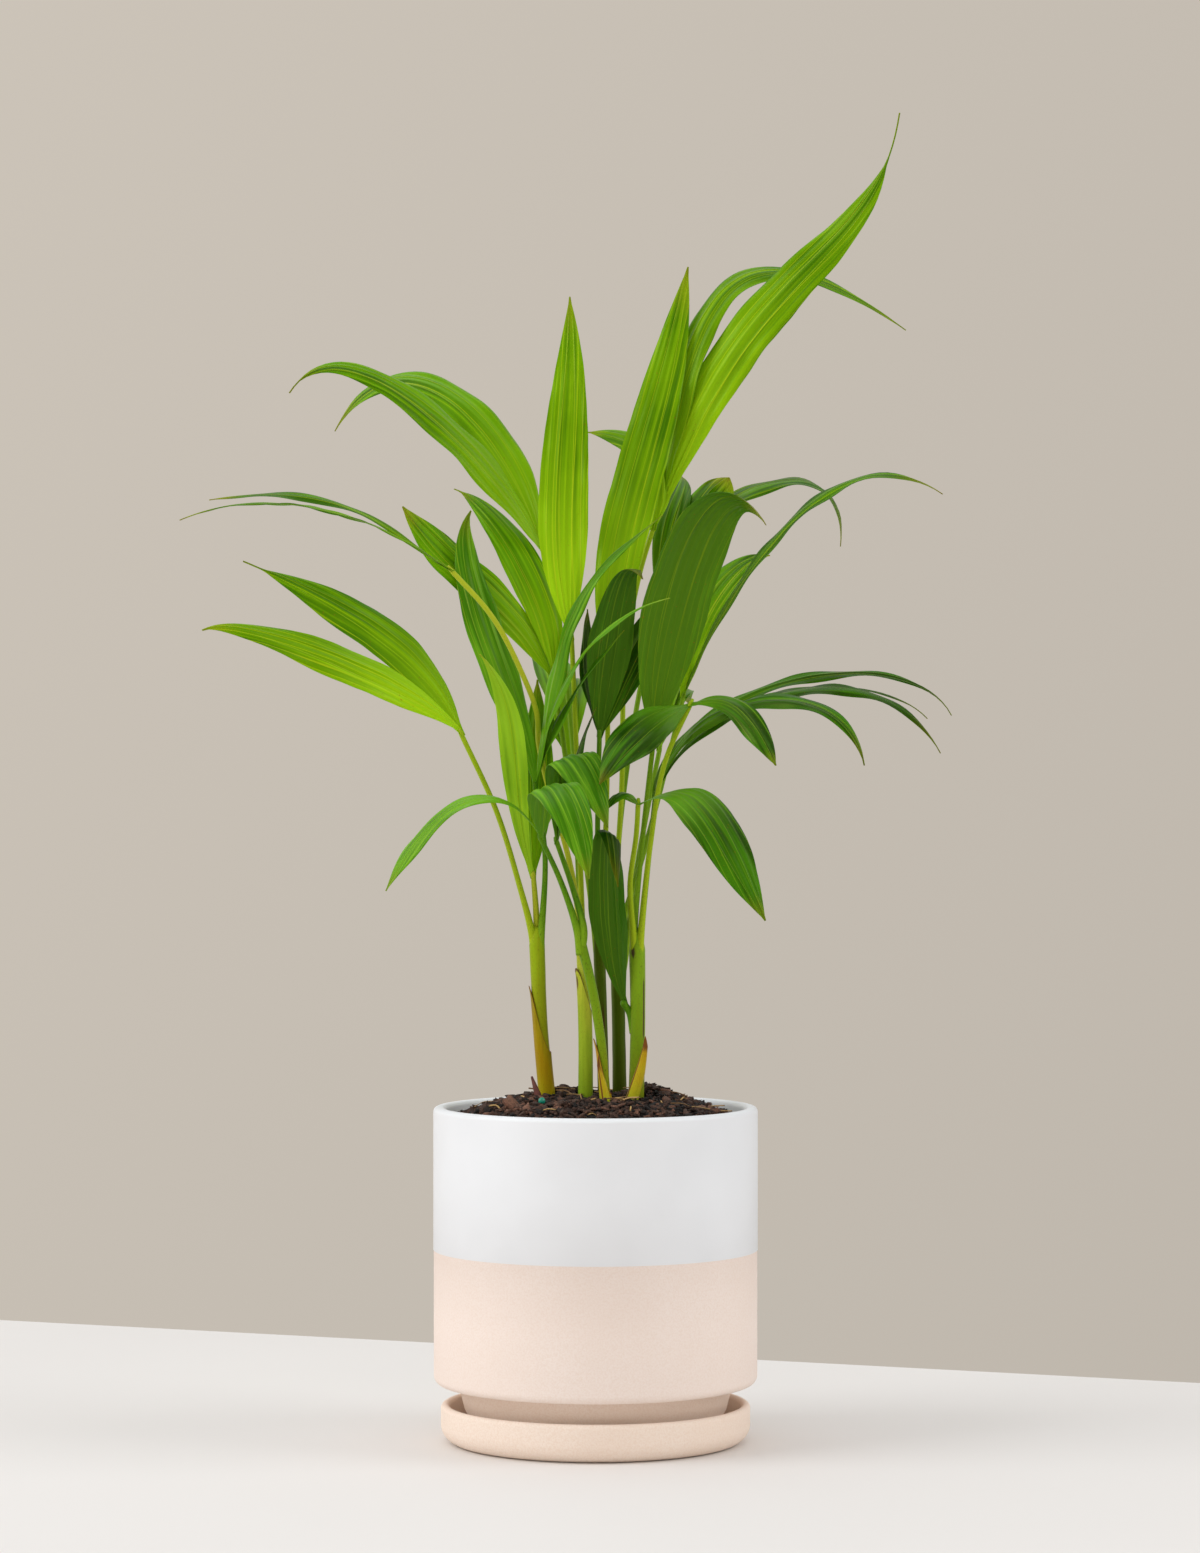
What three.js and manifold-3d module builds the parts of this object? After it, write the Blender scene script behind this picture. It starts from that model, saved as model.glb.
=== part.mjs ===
// A young areca palm: a clump of cane-like stems with broad juvenile fronds, in a round ceramic
// pot that stands in its saucer. Millimetres, +Z up, origin under the middle of the saucer. The
// plant's front looks towards -Y, and its left to right runs along +X.
import * as THREE from "three";
import { mergeVertices } from "three/addons/utils/BufferGeometryUtils.js";
import Module from "manifold-3d";

// Pot and saucer
const POT_RADIUS = 80;
const POT_WALL = 6;
const RIM_HEIGHT = 165.5; // of the pot's rim above the surface it stands on
const RIM_ROUND = 2.4;
const BODY_BOTTOM = 29; // where the straight wall turns in to the foot
const BODY_CORNER = 4;
const FOOT_TOP_RADIUS = 67;
const FOOT_RADIUS = 55;
const POT_FLOOR = 8;
const DRAIN_RADIUS = 7;
const SAUCER_RADIUS = 76.5;
const SAUCER_HEIGHT = 19;
const SAUCER_WALL = 4.6;
const SAUCER_FLOOR = 6;
const SAUCER_CORNER = 9;
const CLEAR = 0.3; // gap between pieces that touch
const ROUND_SIDES = 40;
const QUARTER_STEPS = 3; // straight stretches in a quarter round of an outline

// Soil
const SOIL_EDGE = 157.5; // height of the soil where it meets the pot
const SOIL_TOP = 169; // height of the level middle that the stems stand on
const SOIL_LEVEL_RADIUS = 34;
const SOIL_SHOULDER = [0.5, 0.65]; // share of the way in from the edge, and of the rise there

// Stems, petioles and leaflets
const STEM_SIDES = 9;
const STEM_RINGS = 6;
const STUB_THINNED = 0.35; // share of its taper that a stub has lost by its middle
const PETIOLE_SIDES = 6;
const PETIOLE_STEP = 18; // length of one straight stretch of a petiole
const PETIOLE_MIN_STEPS = 4;
const PETIOLE_RADIUS = [1.45, 1.25]; // at the stem and at the hand
const LEAFLET_RINGS = 9;
const LEAFLET_THICKNESS = 0.0105; // share of the leaflet's length
const EDGE_THICKNESS = 0.4; // share of the thickness at the rib
const ROOT_HALF_WIDTH = 1.4;
const TIP_HALF_WIDTH = 0.4;
const TAPER = 1.7;
const TIP_THINS_FROM = 0.85; // share of the length where the tip starts to thin
const TIP_THICKNESS = 0.4; // share of the thickness that is left at the tip
const ROOT_SUNK = 4; // how far a leaflet's root goes back into its petiole

const CLAY = { color: 0xe8d0c0, roughness: 0.85, metalness: 0 };
const SOIL = { color: 0x2e211a, roughness: 1, metalness: 0 };
const CANE = { color: 0x7fa22a, roughness: 0.5, metalness: 0 };
const STUB = { color: 0xc9ab2f, roughness: 0.6, metalness: 0 };
const LEAF = { color: 0x4d8f1f, roughness: 0.45, metalness: 0 };

// A stem rises from its foot, on the soil, to its top, where the petioles part. Its radius is
// given at foot, middle and top, and bow is how far its middle stands off the straight line.
const STEMS = {
  left: { foot: [-24, 6], top: [-29, 4], height: 245, radius: [3.7, 3.4, 3.9], bow: -0.8 },
  middle: { foot: [-5, -4], top: [-7, 2], height: 244, radius: [3.2, 2.9, 2.7], bow: 0.8 },
  front: { foot: [5, -15], top: [-7.5, -15], height: 249, radius: [2.5, 2.3, 2.5], bow: 2.4 },
  back_left: { foot: [4, 12], top: [1.5, 12], height: 249, radius: [2.9, 2.7, 3.0], bow: 0.3 },
  back: { foot: [12, 24], top: [10.5, 22], height: 246, radius: [3.5, 3.3, 3.4], bow: 0.2 },
  right: { foot: [20, -7], top: [20.5, -6], height: 243, radius: [3.9, 3.6, 4.0], bow: 0.6 },
};

// Stubs of old fronds that stand at the feet of the stems.
const STUBS = {
  right: { foot: [17.5, -15.5], tip: [24.5, -15, 196], radius: [3.4, 1.2], bow: 0.6 },
  front: { foot: [5, -21], tip: [1.5, -20, 187], radius: [2.4, 0.7], bow: 0.3 },
};

// A frond's petiole starts on top of its stem, off from the stem's middle on the side turn, in
// degrees from +X to +Y, or drop below the top, where it grows from the stem's side. It runs
// through its points to the hand, where its leaflets spread. A leaflet ends at to, counted from
// the hand, and bends between by two handles: the share of the way to its tip, the height above
// the straight line and the distance aside. width is its full width, widest the share of its
// length where it has it, taper how long it stays wide from there, tail the share that is a bare
// point, and roll turns its face about its own line, at root and tip, in degrees.
const FRONDS = {
  left_fan: {
    stem: "left", turn: 190, off: 2.3, points: [[-38, 0, 276], [-49, -9, 312]], hand: [-67, -20, 352],
    leaflets: [
      {
        to: [-107, 15, 83], bend: [[0.19, 16], [0.44, 22]], width: 21.6, widest: 0.46, tail: 0.07,
        roll: [-52, -65],
      },
      { to: [-122, -42, 47], bend: [[0.1, 14], [0.9, 16]], width: 20, widest: 0.44, roll: [-67, -62] },
    ],
  },
  left_long: {
    stem: "front", turn: 90, off: 1.9,
    points: [
      [-10, -7, 272], [-15, -2, 295], [-22, 1, 318], [-28, -1, 344], [-29, -12, 360], [-35, -24, 377],
      [-50, -36, 406],
    ],
    hand: [-72, -38, 431],
    leaflets: [
      { to: [-117, 14, 33], bend: [[0.32, 12], [0.51, 29]], width: 7.5, widest: 0.72, roll: [-30, -20] },
      { to: [-128, -22, 21], bend: [[0.39, 26], [0.75, 22]], width: 5, widest: 0.5, roll: [-5, -5] },
    ],
  },
  left_high: {
    stem: "back_left", turn: 180, off: 1.8, points: [[-8, 24, 310], [-15, 38, 380], [-20, 39, 415]],
    hand: [-27, 32, 443],
    leaflets: [
      {
        to: [-125, -26, 76], bend: [[0.23, 26], [1, 54]], width: 21, widest: 0.35, taper: 2, tail: 0.04,
        roll: [-52, -53],
      },
      {
        to: [-107, 49, 63], bend: [[0.31, 51], [1, 70, 2]], width: 21, widest: 0.38, taper: 2.3,
        roll: [-47, -47],
      },
    ],
  },
  left_broad: {
    stem: "middle", turn: 120, off: 1.8, points: [[-9, 6, 290], [-16, 10, 345]], hand: [-22, 14, 381],
    leaflets: [
      {
        to: [-50, 46, 94], bend: [[0.19, 23, 1], [0.79, 20, 2]], width: 20, widest: 0.4, taper: 2.3,
        tail: 0.03, roll: [-30, -35],
      },
      {
        to: [-74, -4, 82], bend: [[0.4, 12], [0.55, -2]], width: 22, widest: 0.5, taper: 2.8,
        roll: [-60, -58],
      },
    ],
  },
  upright: {
    stem: "middle", turn: 280, off: 1.7, points: [[-8, 1, 300], [-10, 2, 355]], hand: [-12, 4, 400],
    leaflets: [
      {
        to: [-1, 31, 170], bend: [[0.38, 4, -10], [0.66, 9, 2]], width: 25, widest: 0.34, taper: 2.1,
        roll: [0, 0],
      },
    ],
  },
  tall: {
    stem: "back_left", turn: 45, off: 1.8, points: [[5, 14, 300], [6, 14, 345]], hand: [6, 16, 380],
    leaflets: [
      {
        to: [41, 44, 208], bend: [[0.31, 20, -2], [0.53, 1, 3]], width: 25, widest: 0.39, taper: 2.6,
        roll: [34, 39],
      },
    ],
  },
  top_right: {
    stem: "back", turn: 210, off: 2, points: [[13, 32, 320], [15, 40, 390], [22, 44, 430]],
    hand: [30, 46, 457],
    leaflets: [
      {
        to: [124, 5, 208], bend: [[0.59, 36], [0.69, -31]], width: 24, widest: 0.42, taper: 2.5,
        tail: 0.1, roll: [75, 61],
      },
      { to: [130, 45, 102], bend: [[0.46, 74], [0.75, 119]], width: 17, widest: 0.33, roll: [29, 48] },
      { to: [-34, 16, 47], bend: [[0.3, 27], [0.65, 27]], width: 17, widest: 0.45, roll: [-50, -50] },
    ],
  },
  right_high: {
    stem: "back", turn: 330, off: 2, points: [[24, 30, 290], [36, 40, 335]], hand: [45, 45, 372],
    leaflets: [
      { to: [130, -5, 99], bend: [[0.28, 30], [0.88, 66]], width: 9, widest: 0.64, roll: [40, 20] },
      { to: [45, 50, 71], bend: [[0.18, 20], [0.75, 26]], width: 18, widest: 0.51, roll: [41, 44] },
    ],
  },
  right_back: {
    stem: "back", turn: 90, off: 2, points: [[12, 48, 300], [22, 66, 370]], hand: [33, 72, 419],
    leaflets: [
      {
        to: [36, 20, 64], bend: [[0.56, -2, 1], [0.41, 12]], width: 22, widest: 0.52, taper: 7,
        roll: [47, 45],
      },
      { to: [95, 50, 30], bend: [[0.15, 52], [1.25, 62]], width: 13, widest: 0.68, roll: [30, 20] },
      {
        to: [10, 40, 67], bend: [[0.59, 26], [0.86, 9, 12]], width: 15.4, widest: 0.61, tail: 0.05,
        roll: [18, 0],
      },
    ],
  },
  right_broad: {
    stem: "right", turn: 135, off: 2.3, points: [[23, 1, 295]], hand: [29, 4, 349],
    leaflets: [
      {
        to: [54, -40, 102], bend: [[0.32, 23], [1.19, 57]], width: 33.7, widest: 0.45, taper: 3,
        roll: [-48, -26],
      },
    ],
  },
  right_low: {
    stem: "right", turn: 315, off: 2.3, points: [[27, -8, 295], [34, -9, 335]], hand: [48, -6, 367],
    leaflets: [
      { to: [-46, -54, -42], bend: [[0.3, 10], [0.65, 10]], width: 24, widest: 0.5, roll: [-35, -25] },
      {
        to: [39, -49, -33], bend: [[0.34, 21], [0.61, 13, -2]], width: 13, widest: 0.6, taper: 2.1,
        roll: [50, 25],
      },
    ],
  },
  right_arching: {
    stem: "right", turn: 45, off: 2.3, points: [[26, 1, 285]], hand: [30, 8, 322],
    leaflets: [
      { to: [147, 2, 37], bend: [[0.14, 55], [0.94, 46]], width: 9, widest: 0.55, roll: [15, 15] },
      { to: [138, -43, 18], bend: [[0.12, 42], [0.84, 66]], width: 9, widest: 0.55, roll: [20, 15] },
      { to: [138, 42, 36], bend: [[0.07, 50], [0.85, 40]], width: 8, widest: 0.35, roll: [15, 15] },
      { to: [100, -58, 12], bend: [[0.2, 54, 3], [0.98, 50]], width: 11, widest: 0.65, roll: [29, 20] },
    ],
  },
  front_right: {
    stem: "right", turn: 225, off: 2.3, points: [[17, -11, 275], [20, -17, 300]], hand: [21, -24, 318],
    leaflets: [
      { to: [60, -56, -58], bend: [[0.21, 34, -2], [0.4, 28, 4]], width: 26, widest: 0.47, roll: [12, 38] },
      { to: [-16, -10, -6], bend: [[0.3, 10], [0.65, 10]], width: 12, widest: 0.5, roll: [0, 0] },
    ],
  },
  front_left: {
    stem: "front", turn: 215, off: 1.9, points: [[-17, -17, 277]], hand: [-28, -22, 301],
    leaflets: [
      { to: [-74, -15, -28], bend: [[0.08, 41], [0.54, 39]], width: 17, widest: 0.6, roll: [-6, -24] },
      { to: [25, -66, -21], bend: [[0.3, 50, 12], [0.65, 46, 6]], width: 24, widest: 0.5, roll: [10, 10] },
    ],
  },
  front_fold: {
    stem: "front", turn: 335, off: 1.9, points: [[-11, -13, 273]], hand: [-20, -10, 299],
    leaflets: [
      { to: [26, -42, 5], bend: [[0.3, 53, 4], [0.65, 53, 4]], width: 25, widest: 0.5, roll: [15, 15] },
      { to: [20, -1, 63], bend: [[0.3, 4], [0.65, 4]], width: 19, widest: 0.5, roll: [-10, 0] },
    ],
  },
  left_narrow: {
    stem: "left", turn: 330, off: 2.3, points: [[-25, -1, 290]], hand: [-30, -10, 326],
    leaflets: [
      {
        to: [-32, 22, 135], bend: [[0.2, 10, -5], [0.86, -16, -11]], width: 19, widest: 0.49,
        taper: 2.5, roll: [-34, -36],
      },
      { to: [63, -6, 131], bend: [[0.59, 25], [0.65, 27]], width: 12, widest: 0.4, roll: [25, 20] },
      { to: [66, -38, 89], bend: [[0.35, 26, 1], [0.71, 29, 2]], width: 12, widest: 0.4, roll: [20, 10] },
      { to: [44, -20, 74], bend: [[0.26, 10], [0.59, 10, -1]], width: 9, widest: 0.4, roll: [25, 20] },
    ],
  },
  left_bright: {
    stem: "left", turn: 90, off: 2.3, points: [[-29.5, 4, 262]], hand: [-31, 0, 282],
    leaflets: [
      {
        to: [-25, -42, 106], bend: [[0.43, -2, 3], [0.66, 23, -4]], width: 13.5, widest: 0.6,
        taper: 1.3, roll: [38, 8],
      },
      { to: [2, 14, 95], bend: [[0.3, -2], [0.65, -2]], width: 18, widest: 0.5, roll: [0, 0] },
    ],
  },
  shade: {
    stem: "back_left", turn: 290, off: 1.8, points: [[1, 7, 300]], hand: [2, 2, 352],
    leaflets: [
      { to: [21, -32, 73], bend: [[0.4, 12], [1.15, 28]], width: 23, widest: 0.5, roll: [-30, 0] },
      { to: [40, 24, 75], bend: [[0.3, 4], [0.65, 4]], width: 18, widest: 0.5, roll: [55, 60] },
      { to: [-6, 10, 60], bend: [[0.3, -3], [0.65, -3]], width: 15, widest: 0.5, roll: [30, 20] },
    ],
  },
  low_fold: {
    stem: "right", turn: 170, drop: 36, points: [], hand: [13, -8, 218],
    leaflets: [
      { to: [-2, -32, 57], bend: [[0.54, 19, 11], [1.74, 37, 9]], width: 21, widest: 0.5, roll: [0, 0] },
    ],
  },
  back_left: {
    stem: "back_left", turn: 110, drop: 12, points: [[-2, 28, 285]], hand: [-14, 46, 340],
    leaflets: [
      { to: [-20, 78, 55], bend: [[0.3, 28], [0.65, 28]], width: 20, widest: 0.5, roll: [0, 0] },
      { to: [4, 88, 25], bend: [[0.3, 38], [0.65, 38]], width: 20, widest: 0.5, roll: [0, 0] },
      { to: [-26, 55, 10], bend: [[0.3, 24], [0.65, 24]], width: 16, widest: 0.5, roll: [0, 0] },
    ],
  },
  back_right: {
    stem: "back", turn: 20, drop: 14, points: [[22, 36, 290]], hand: [33, 58, 345],
    leaflets: [
      { to: [14, 92, 40], bend: [[0.3, 38], [0.65, 38]], width: 20, widest: 0.5, roll: [0, 0] },
      { to: [16, 74, 22], bend: [[0.3, 26], [0.65, 26]], width: 20, widest: 0.5, roll: [0, 0] },
      { to: [8, 84, 60], bend: [[0.3, 21], [0.65, 21]], width: 18, widest: 0.5, roll: [0, 0] },
    ],
  },
};

const UP = new THREE.Vector3(0, 0, 1);
const wasm = await Module();
wasm.setup();

const radians = THREE.MathUtils.degToRad;
const mix = THREE.MathUtils.lerp;
const point = (list) => new THREE.Vector3(...list);

// A closed solid through rings of points, all with the same count, with a flat cap at each end.
// A ring runs anticlockwise as seen from the next one.
function loft(rings) {
  const count = rings[0].length;
  const index = [];
  for (let start = 0; start < (rings.length - 1) * count; start += count) {
    for (let i = 0; i < count; i++) {
      const a = start + i;
      const b = start + ((i + 1) % count);
      index.push(a, b, a + count, b, b + count, a + count);
    }
  }
  const last = (rings.length - 1) * count;
  for (let i = 1; i + 1 < count; i++) {
    index.push(0, i + 1, i);
    index.push(last, last + i, last + i + 1);
  }
  const geometry = new THREE.BufferGeometry();
  const positions = rings.flat().flatMap((p) => p.toArray());
  geometry.setAttribute("position", new THREE.Float32BufferAttribute(positions, 3));
  geometry.setIndex(index);
  return geometry;
}

function solidOf(geometry) {
  const merged = mergeVertices(geometry);
  return new wasm.Manifold(new wasm.Mesh({
    numProp: 3,
    vertProperties: merged.attributes.position.array,
    triVerts: new Uint32Array(merged.index.array),
  }));
}

function geometryOf(solid) {
  const mesh = solid.getMesh();
  const geometry = new THREE.BufferGeometry();
  geometry.setAttribute("position", new THREE.BufferAttribute(mesh.vertProperties, 3));
  geometry.setIndex(new THREE.BufferAttribute(mesh.triVerts, 1));
  return geometry;
}

// A piece turned about the Z axis, from an outline of its radii and heights.
function turned(outline) {
  const geometry = new THREE.LatheGeometry(outline, ROUND_SIDES).rotateX(Math.PI / 2);
  geometry.deleteAttribute("normal");
  geometry.deleteAttribute("uv");
  return geometry;
}

// Points of a round stretch in an outline, from one angle to another, in degrees.
function round(radius, height, size, from, to) {
  const steps = (QUARTER_STEPS * Math.abs(to - from)) / 90;
  return Array.from({ length: steps + 1 }, (_, i) => {
    const angle = radians(mix(from, to, i / steps));
    return new THREE.Vector2(radius + size * Math.cos(angle), height + size * Math.sin(angle));
  });
}

function pot() {
  const foot = SAUCER_FLOOR + CLEAR;
  const inside = POT_RADIUS - POT_WALL;
  const outline = [
    new THREE.Vector2(DRAIN_RADIUS, foot),
    new THREE.Vector2(FOOT_RADIUS, foot),
    new THREE.Vector2(FOOT_TOP_RADIUS, BODY_BOTTOM),
    ...round(POT_RADIUS - BODY_CORNER, BODY_BOTTOM + BODY_CORNER, BODY_CORNER, -90, 0),
    ...round(POT_RADIUS - RIM_ROUND, RIM_HEIGHT - RIM_ROUND, RIM_ROUND, 0, 90),
    ...round(inside + RIM_ROUND, RIM_HEIGHT - RIM_ROUND, RIM_ROUND, 90, 180),
    new THREE.Vector2(inside, BODY_BOTTOM + POT_WALL + BODY_CORNER),
    new THREE.Vector2(FOOT_TOP_RADIUS - POT_WALL, BODY_BOTTOM + POT_WALL),
    new THREE.Vector2(FOOT_RADIUS - POT_WALL, foot + POT_FLOOR),
    new THREE.Vector2(DRAIN_RADIUS, foot + POT_FLOOR),
    new THREE.Vector2(DRAIN_RADIUS, foot),
  ];
  return turned(outline);
}

function saucer() {
  const inside = SAUCER_RADIUS - SAUCER_WALL;
  const rim = SAUCER_WALL / 2;
  const outline = [
    new THREE.Vector2(0, 0),
    ...round(SAUCER_RADIUS - SAUCER_CORNER, SAUCER_CORNER, SAUCER_CORNER, -90, 0),
    ...round(SAUCER_RADIUS - rim, SAUCER_HEIGHT - rim, rim, 0, 180),
    new THREE.Vector2(inside, SAUCER_FLOOR + rim),
    new THREE.Vector2(inside - rim, SAUCER_FLOOR),
    new THREE.Vector2(0, SAUCER_FLOOR),
  ];
  return turned(outline);
}

// The soil fills the pot and is heaped in its middle.
function soil() {
  const inside = POT_RADIUS - POT_WALL - CLEAR;
  const floor = SAUCER_FLOOR + CLEAR + POT_FLOOR + CLEAR;
  const [inward, risen] = SOIL_SHOULDER;
  const outline = [
    new THREE.Vector2(0, floor),
    new THREE.Vector2(FOOT_RADIUS - POT_WALL - CLEAR, floor),
    new THREE.Vector2(FOOT_TOP_RADIUS - POT_WALL - CLEAR, BODY_BOTTOM + POT_WALL + CLEAR),
    new THREE.Vector2(inside, BODY_BOTTOM + POT_WALL + BODY_CORNER + CLEAR),
    new THREE.Vector2(inside, SOIL_EDGE),
    new THREE.Vector2(mix(inside, SOIL_LEVEL_RADIUS, inward), mix(SOIL_EDGE, SOIL_TOP, risen)),
    new THREE.Vector2(SOIL_LEVEL_RADIUS, SOIL_TOP),
    new THREE.Vector2(0, SOIL_TOP),
  ];
  return turned(outline);
}

// The middle and radius of a cane at a share of its height, from a flat foot to a flat top.
function caneAt({ foot, top, height, radius, bow }, share) {
  const base = SOIL_TOP + CLEAR;
  const low = share < 0.5;
  const half = low ? share * 2 : share * 2 - 1;
  return {
    middle: new THREE.Vector3(
      mix(foot[0], top[0], share) + bow * Math.sin(Math.PI * share),
      mix(foot[1], top[1], share),
      mix(base, height, share),
    ),
    radius: low ? mix(radius[0], radius[1], half) : mix(radius[1], radius[2], half),
  };
}

function cane(stem) {
  const rings = Array.from({ length: STEM_RINGS }, (_, r) => {
    const { middle, radius } = caneAt(stem, r / (STEM_RINGS - 1));
    return Array.from({ length: STEM_SIDES }, (_, i) => {
      const angle = (2 * Math.PI * i) / STEM_SIDES;
      return new THREE.Vector3(radius * Math.cos(angle), radius * Math.sin(angle), 0).add(middle);
    });
  });
  return loft(rings);
}

function stub({ foot, tip, radius, bow }) {
  const [x, y, height] = tip;
  const middle = mix(radius[0], radius[1], STUB_THINNED);
  return cane({ foot, top: [x, y], height, radius: [radius[0], middle, radius[1]], bow });
}

// The line of a petiole, from just clear of its stem to its hand.
function petioleLine({ stem, turn, off, drop = 0, points, hand }) {
  const { height } = STEMS[stem];
  const share = 1 - drop / (height - SOIL_TOP - CLEAR);
  const { middle, radius } = caneAt(STEMS[stem], share);
  const out = drop > 0 ? radius + CLEAR + PETIOLE_RADIUS[0] : off;
  const side = new THREE.Vector3(Math.cos(radians(turn)), Math.sin(radians(turn)), 0);
  const start = middle.addScaledVector(side, out);
  start.z += drop > 0 ? 0 : CLEAR;
  const rising = start.clone().addScaledVector(UP, ROOT_SUNK);
  return new THREE.CatmullRomCurve3([start, rising, ...points.map(point), point(hand)]);
}

function petiole(line) {
  const steps = Math.max(PETIOLE_MIN_STEPS, Math.round(line.getLength() / PETIOLE_STEP));
  const { binormals, normals } = line.computeFrenetFrames(steps);
  const rings = Array.from({ length: steps + 1 }, (_, r) => {
    const share = r / steps;
    const radius = mix(...PETIOLE_RADIUS, share);
    return Array.from({ length: PETIOLE_SIDES }, (_, i) => {
      const angle = (2 * Math.PI * i) / PETIOLE_SIDES;
      const flat = r === 0;
      const across = flat ? new THREE.Vector3(1, 0, 0) : normals[r];
      const along = flat ? new THREE.Vector3(0, 1, 0) : binormals[r];
      return line.getPointAt(share)
        .addScaledVector(across, radius * Math.cos(angle))
        .addScaledVector(along, radius * Math.sin(angle));
    });
  });
  return loft(rings);
}

// Half the width of a leaflet at a share of its length: it swells from its root to where it is
// widest and then draws in to a long point.
function halfWidth({ width, widest, taper = TAPER, tail = 0 }, share) {
  const swell = Math.sin((Math.PI / 2) * Math.min(share / widest, 1));
  const draw = THREE.MathUtils.clamp((share - widest) / (1 - tail - widest), 0, 1);
  const full = (width / 2) * (share < widest ? swell : 1 - draw ** taper);
  return Math.max(full, share < widest ? ROOT_HALF_WIDTH : TIP_HALF_WIDTH);
}

// A leaflet's rib is one arch from the root to the tip. Its blade lies across the arch, turned
// by its roll.
function leaflet(shape, root, hand) {
  const { to, bend, roll } = shape;
  const tip = point(hand).add(point(to));
  const chord = tip.clone().sub(root);
  const outward = new THREE.Vector3(to[0], to[1], 0).normalize();
  const across = outward.clone().cross(UP);
  const above = across.clone().cross(chord).normalize();
  const [early, late] = bend.map(([share, height, aside = 0]) => root.clone()
    .addScaledVector(chord, share)
    .addScaledVector(above, height)
    .addScaledVector(across, aside));
  const rib = new THREE.CubicBezierCurve3(root, early, late, tip);
  const thick = LEAFLET_THICKNESS * rib.getLength();
  const rings = Array.from({ length: LEAFLET_RINGS + 1 }, (_, r) => {
    const share = r / LEAFLET_RINGS;
    const middle = rib.getPointAt(share);
    const along = rib.getTangentAt(share);
    const angle = radians(mix(...roll, share));
    const face = across.clone().cross(along).normalize().applyAxisAngle(along, angle);
    const side = face.clone().cross(along);
    const half = halfWidth(shape, share);
    const thin = Math.max((share - TIP_THINS_FROM) / (1 - TIP_THINS_FROM), 0);
    const core = (thick / 2) * mix(1, TIP_THICKNESS, thin);
    const edge = core * EDGE_THICKNESS;
    return [[half, -edge], [half, edge], [0, core], [-half, edge], [-half, -edge], [0, -core]]
      .map(([u, v]) => middle.clone().addScaledVector(side, u).addScaledVector(face, v));
  });
  return loft(rings);
}

function frond(shape) {
  const line = petioleLine(shape);
  const root = point(shape.hand).addScaledVector(line.getTangentAt(1), -ROOT_SUNK);
  const blades = shape.leaflets.map((blade) => solidOf(leaflet(blade, root, shape.hand)));
  return geometryOf(blades.reduce((whole, blade) => whole.add(blade), solidOf(petiole(line))));
}

function piece(name, geometry, finish) {
  const mesh = new THREE.Mesh(geometry, new THREE.MeshStandardMaterial(finish));
  mesh.name = name;
  return mesh;
}

const palm = new THREE.Group();
palm.add(piece("pot", pot(), CLAY));
palm.add(piece("saucer", saucer(), CLAY));
palm.add(piece("soil", soil(), SOIL));
for (const [name, stem] of Object.entries(STEMS)) {
  palm.add(piece(`stem_${name}`, cane(stem), CANE));
}
for (const [name, shape] of Object.entries(STUBS)) {
  palm.add(piece(`stub_${name}`, stub(shape), STUB));
}
for (const [name, shape] of Object.entries(FRONDS)) {
  palm.add(piece(`frond_${name}`, frond(shape), LEAF));
}

export default palm;
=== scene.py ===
# %% [markdown]
# ## A young areca palm in a two-tone pot
#
# A finished model gives the palm as plain solids in their true places. This lesson replaces each
# solid by a finer mesh on the same lines, with a finish made from shader nodes alone. Lengths are
# in millimetres, and MM turns them into the scene's metres. +Z is up and -Y is the front.
#
# The first cell loads the model.

# %% Load the model
import bisect
import math
import random

import bmesh
import bpy
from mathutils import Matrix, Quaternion, Vector, noise
from mathutils.geometry import interpolate_bezier


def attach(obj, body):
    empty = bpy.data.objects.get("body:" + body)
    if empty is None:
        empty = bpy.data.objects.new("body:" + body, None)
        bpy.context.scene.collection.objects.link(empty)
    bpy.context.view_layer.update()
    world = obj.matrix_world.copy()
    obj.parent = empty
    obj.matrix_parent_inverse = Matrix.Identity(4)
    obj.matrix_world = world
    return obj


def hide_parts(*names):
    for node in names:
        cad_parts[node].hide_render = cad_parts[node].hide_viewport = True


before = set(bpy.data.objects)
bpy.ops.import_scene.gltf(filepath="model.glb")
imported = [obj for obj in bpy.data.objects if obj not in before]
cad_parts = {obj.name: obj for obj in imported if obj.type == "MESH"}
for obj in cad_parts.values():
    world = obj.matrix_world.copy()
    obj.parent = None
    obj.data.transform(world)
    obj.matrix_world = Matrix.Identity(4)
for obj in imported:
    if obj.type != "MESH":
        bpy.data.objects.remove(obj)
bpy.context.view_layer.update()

MM = 0.001
UP = Vector((0, 0, 1))
scene = bpy.context.scene

# %% [markdown]
# ## Camera
#
# The picture was taken with a long lens at half the plant's height. The pot's sides keep the same
# width from top to bottom, so the camera is level. Its rim and its saucer open as ellipses, and
# how far they open gives the distance.

# %% Set up the camera
EYE = (2.2, -2135, 328.7)
LENS = 100

camera = bpy.data.objects.new("camera", bpy.data.cameras.new("camera"))
camera.data.lens = LENS
camera.location = Vector(EYE) * MM
camera.rotation_euler = (math.radians(90), 0, 0)
scene.collection.objects.link(camera)
scene.camera = camera
print("the camera stands", round(camera.location.length, 2), "m from the pot's foot")

# %% [markdown]
# ## Mesh and shader helpers
#
#
# The shader helpers keep the node trees short. feed() gives a node's sockets plain values, web
# colours or other nodes' outputs, and add() makes a node and feeds it. The others are the few
# steps that all the finishes share: reading a mark, sums, stretching a range, and laying colours
# over each other like coats of paint, each with a share that says where it covers.

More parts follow.
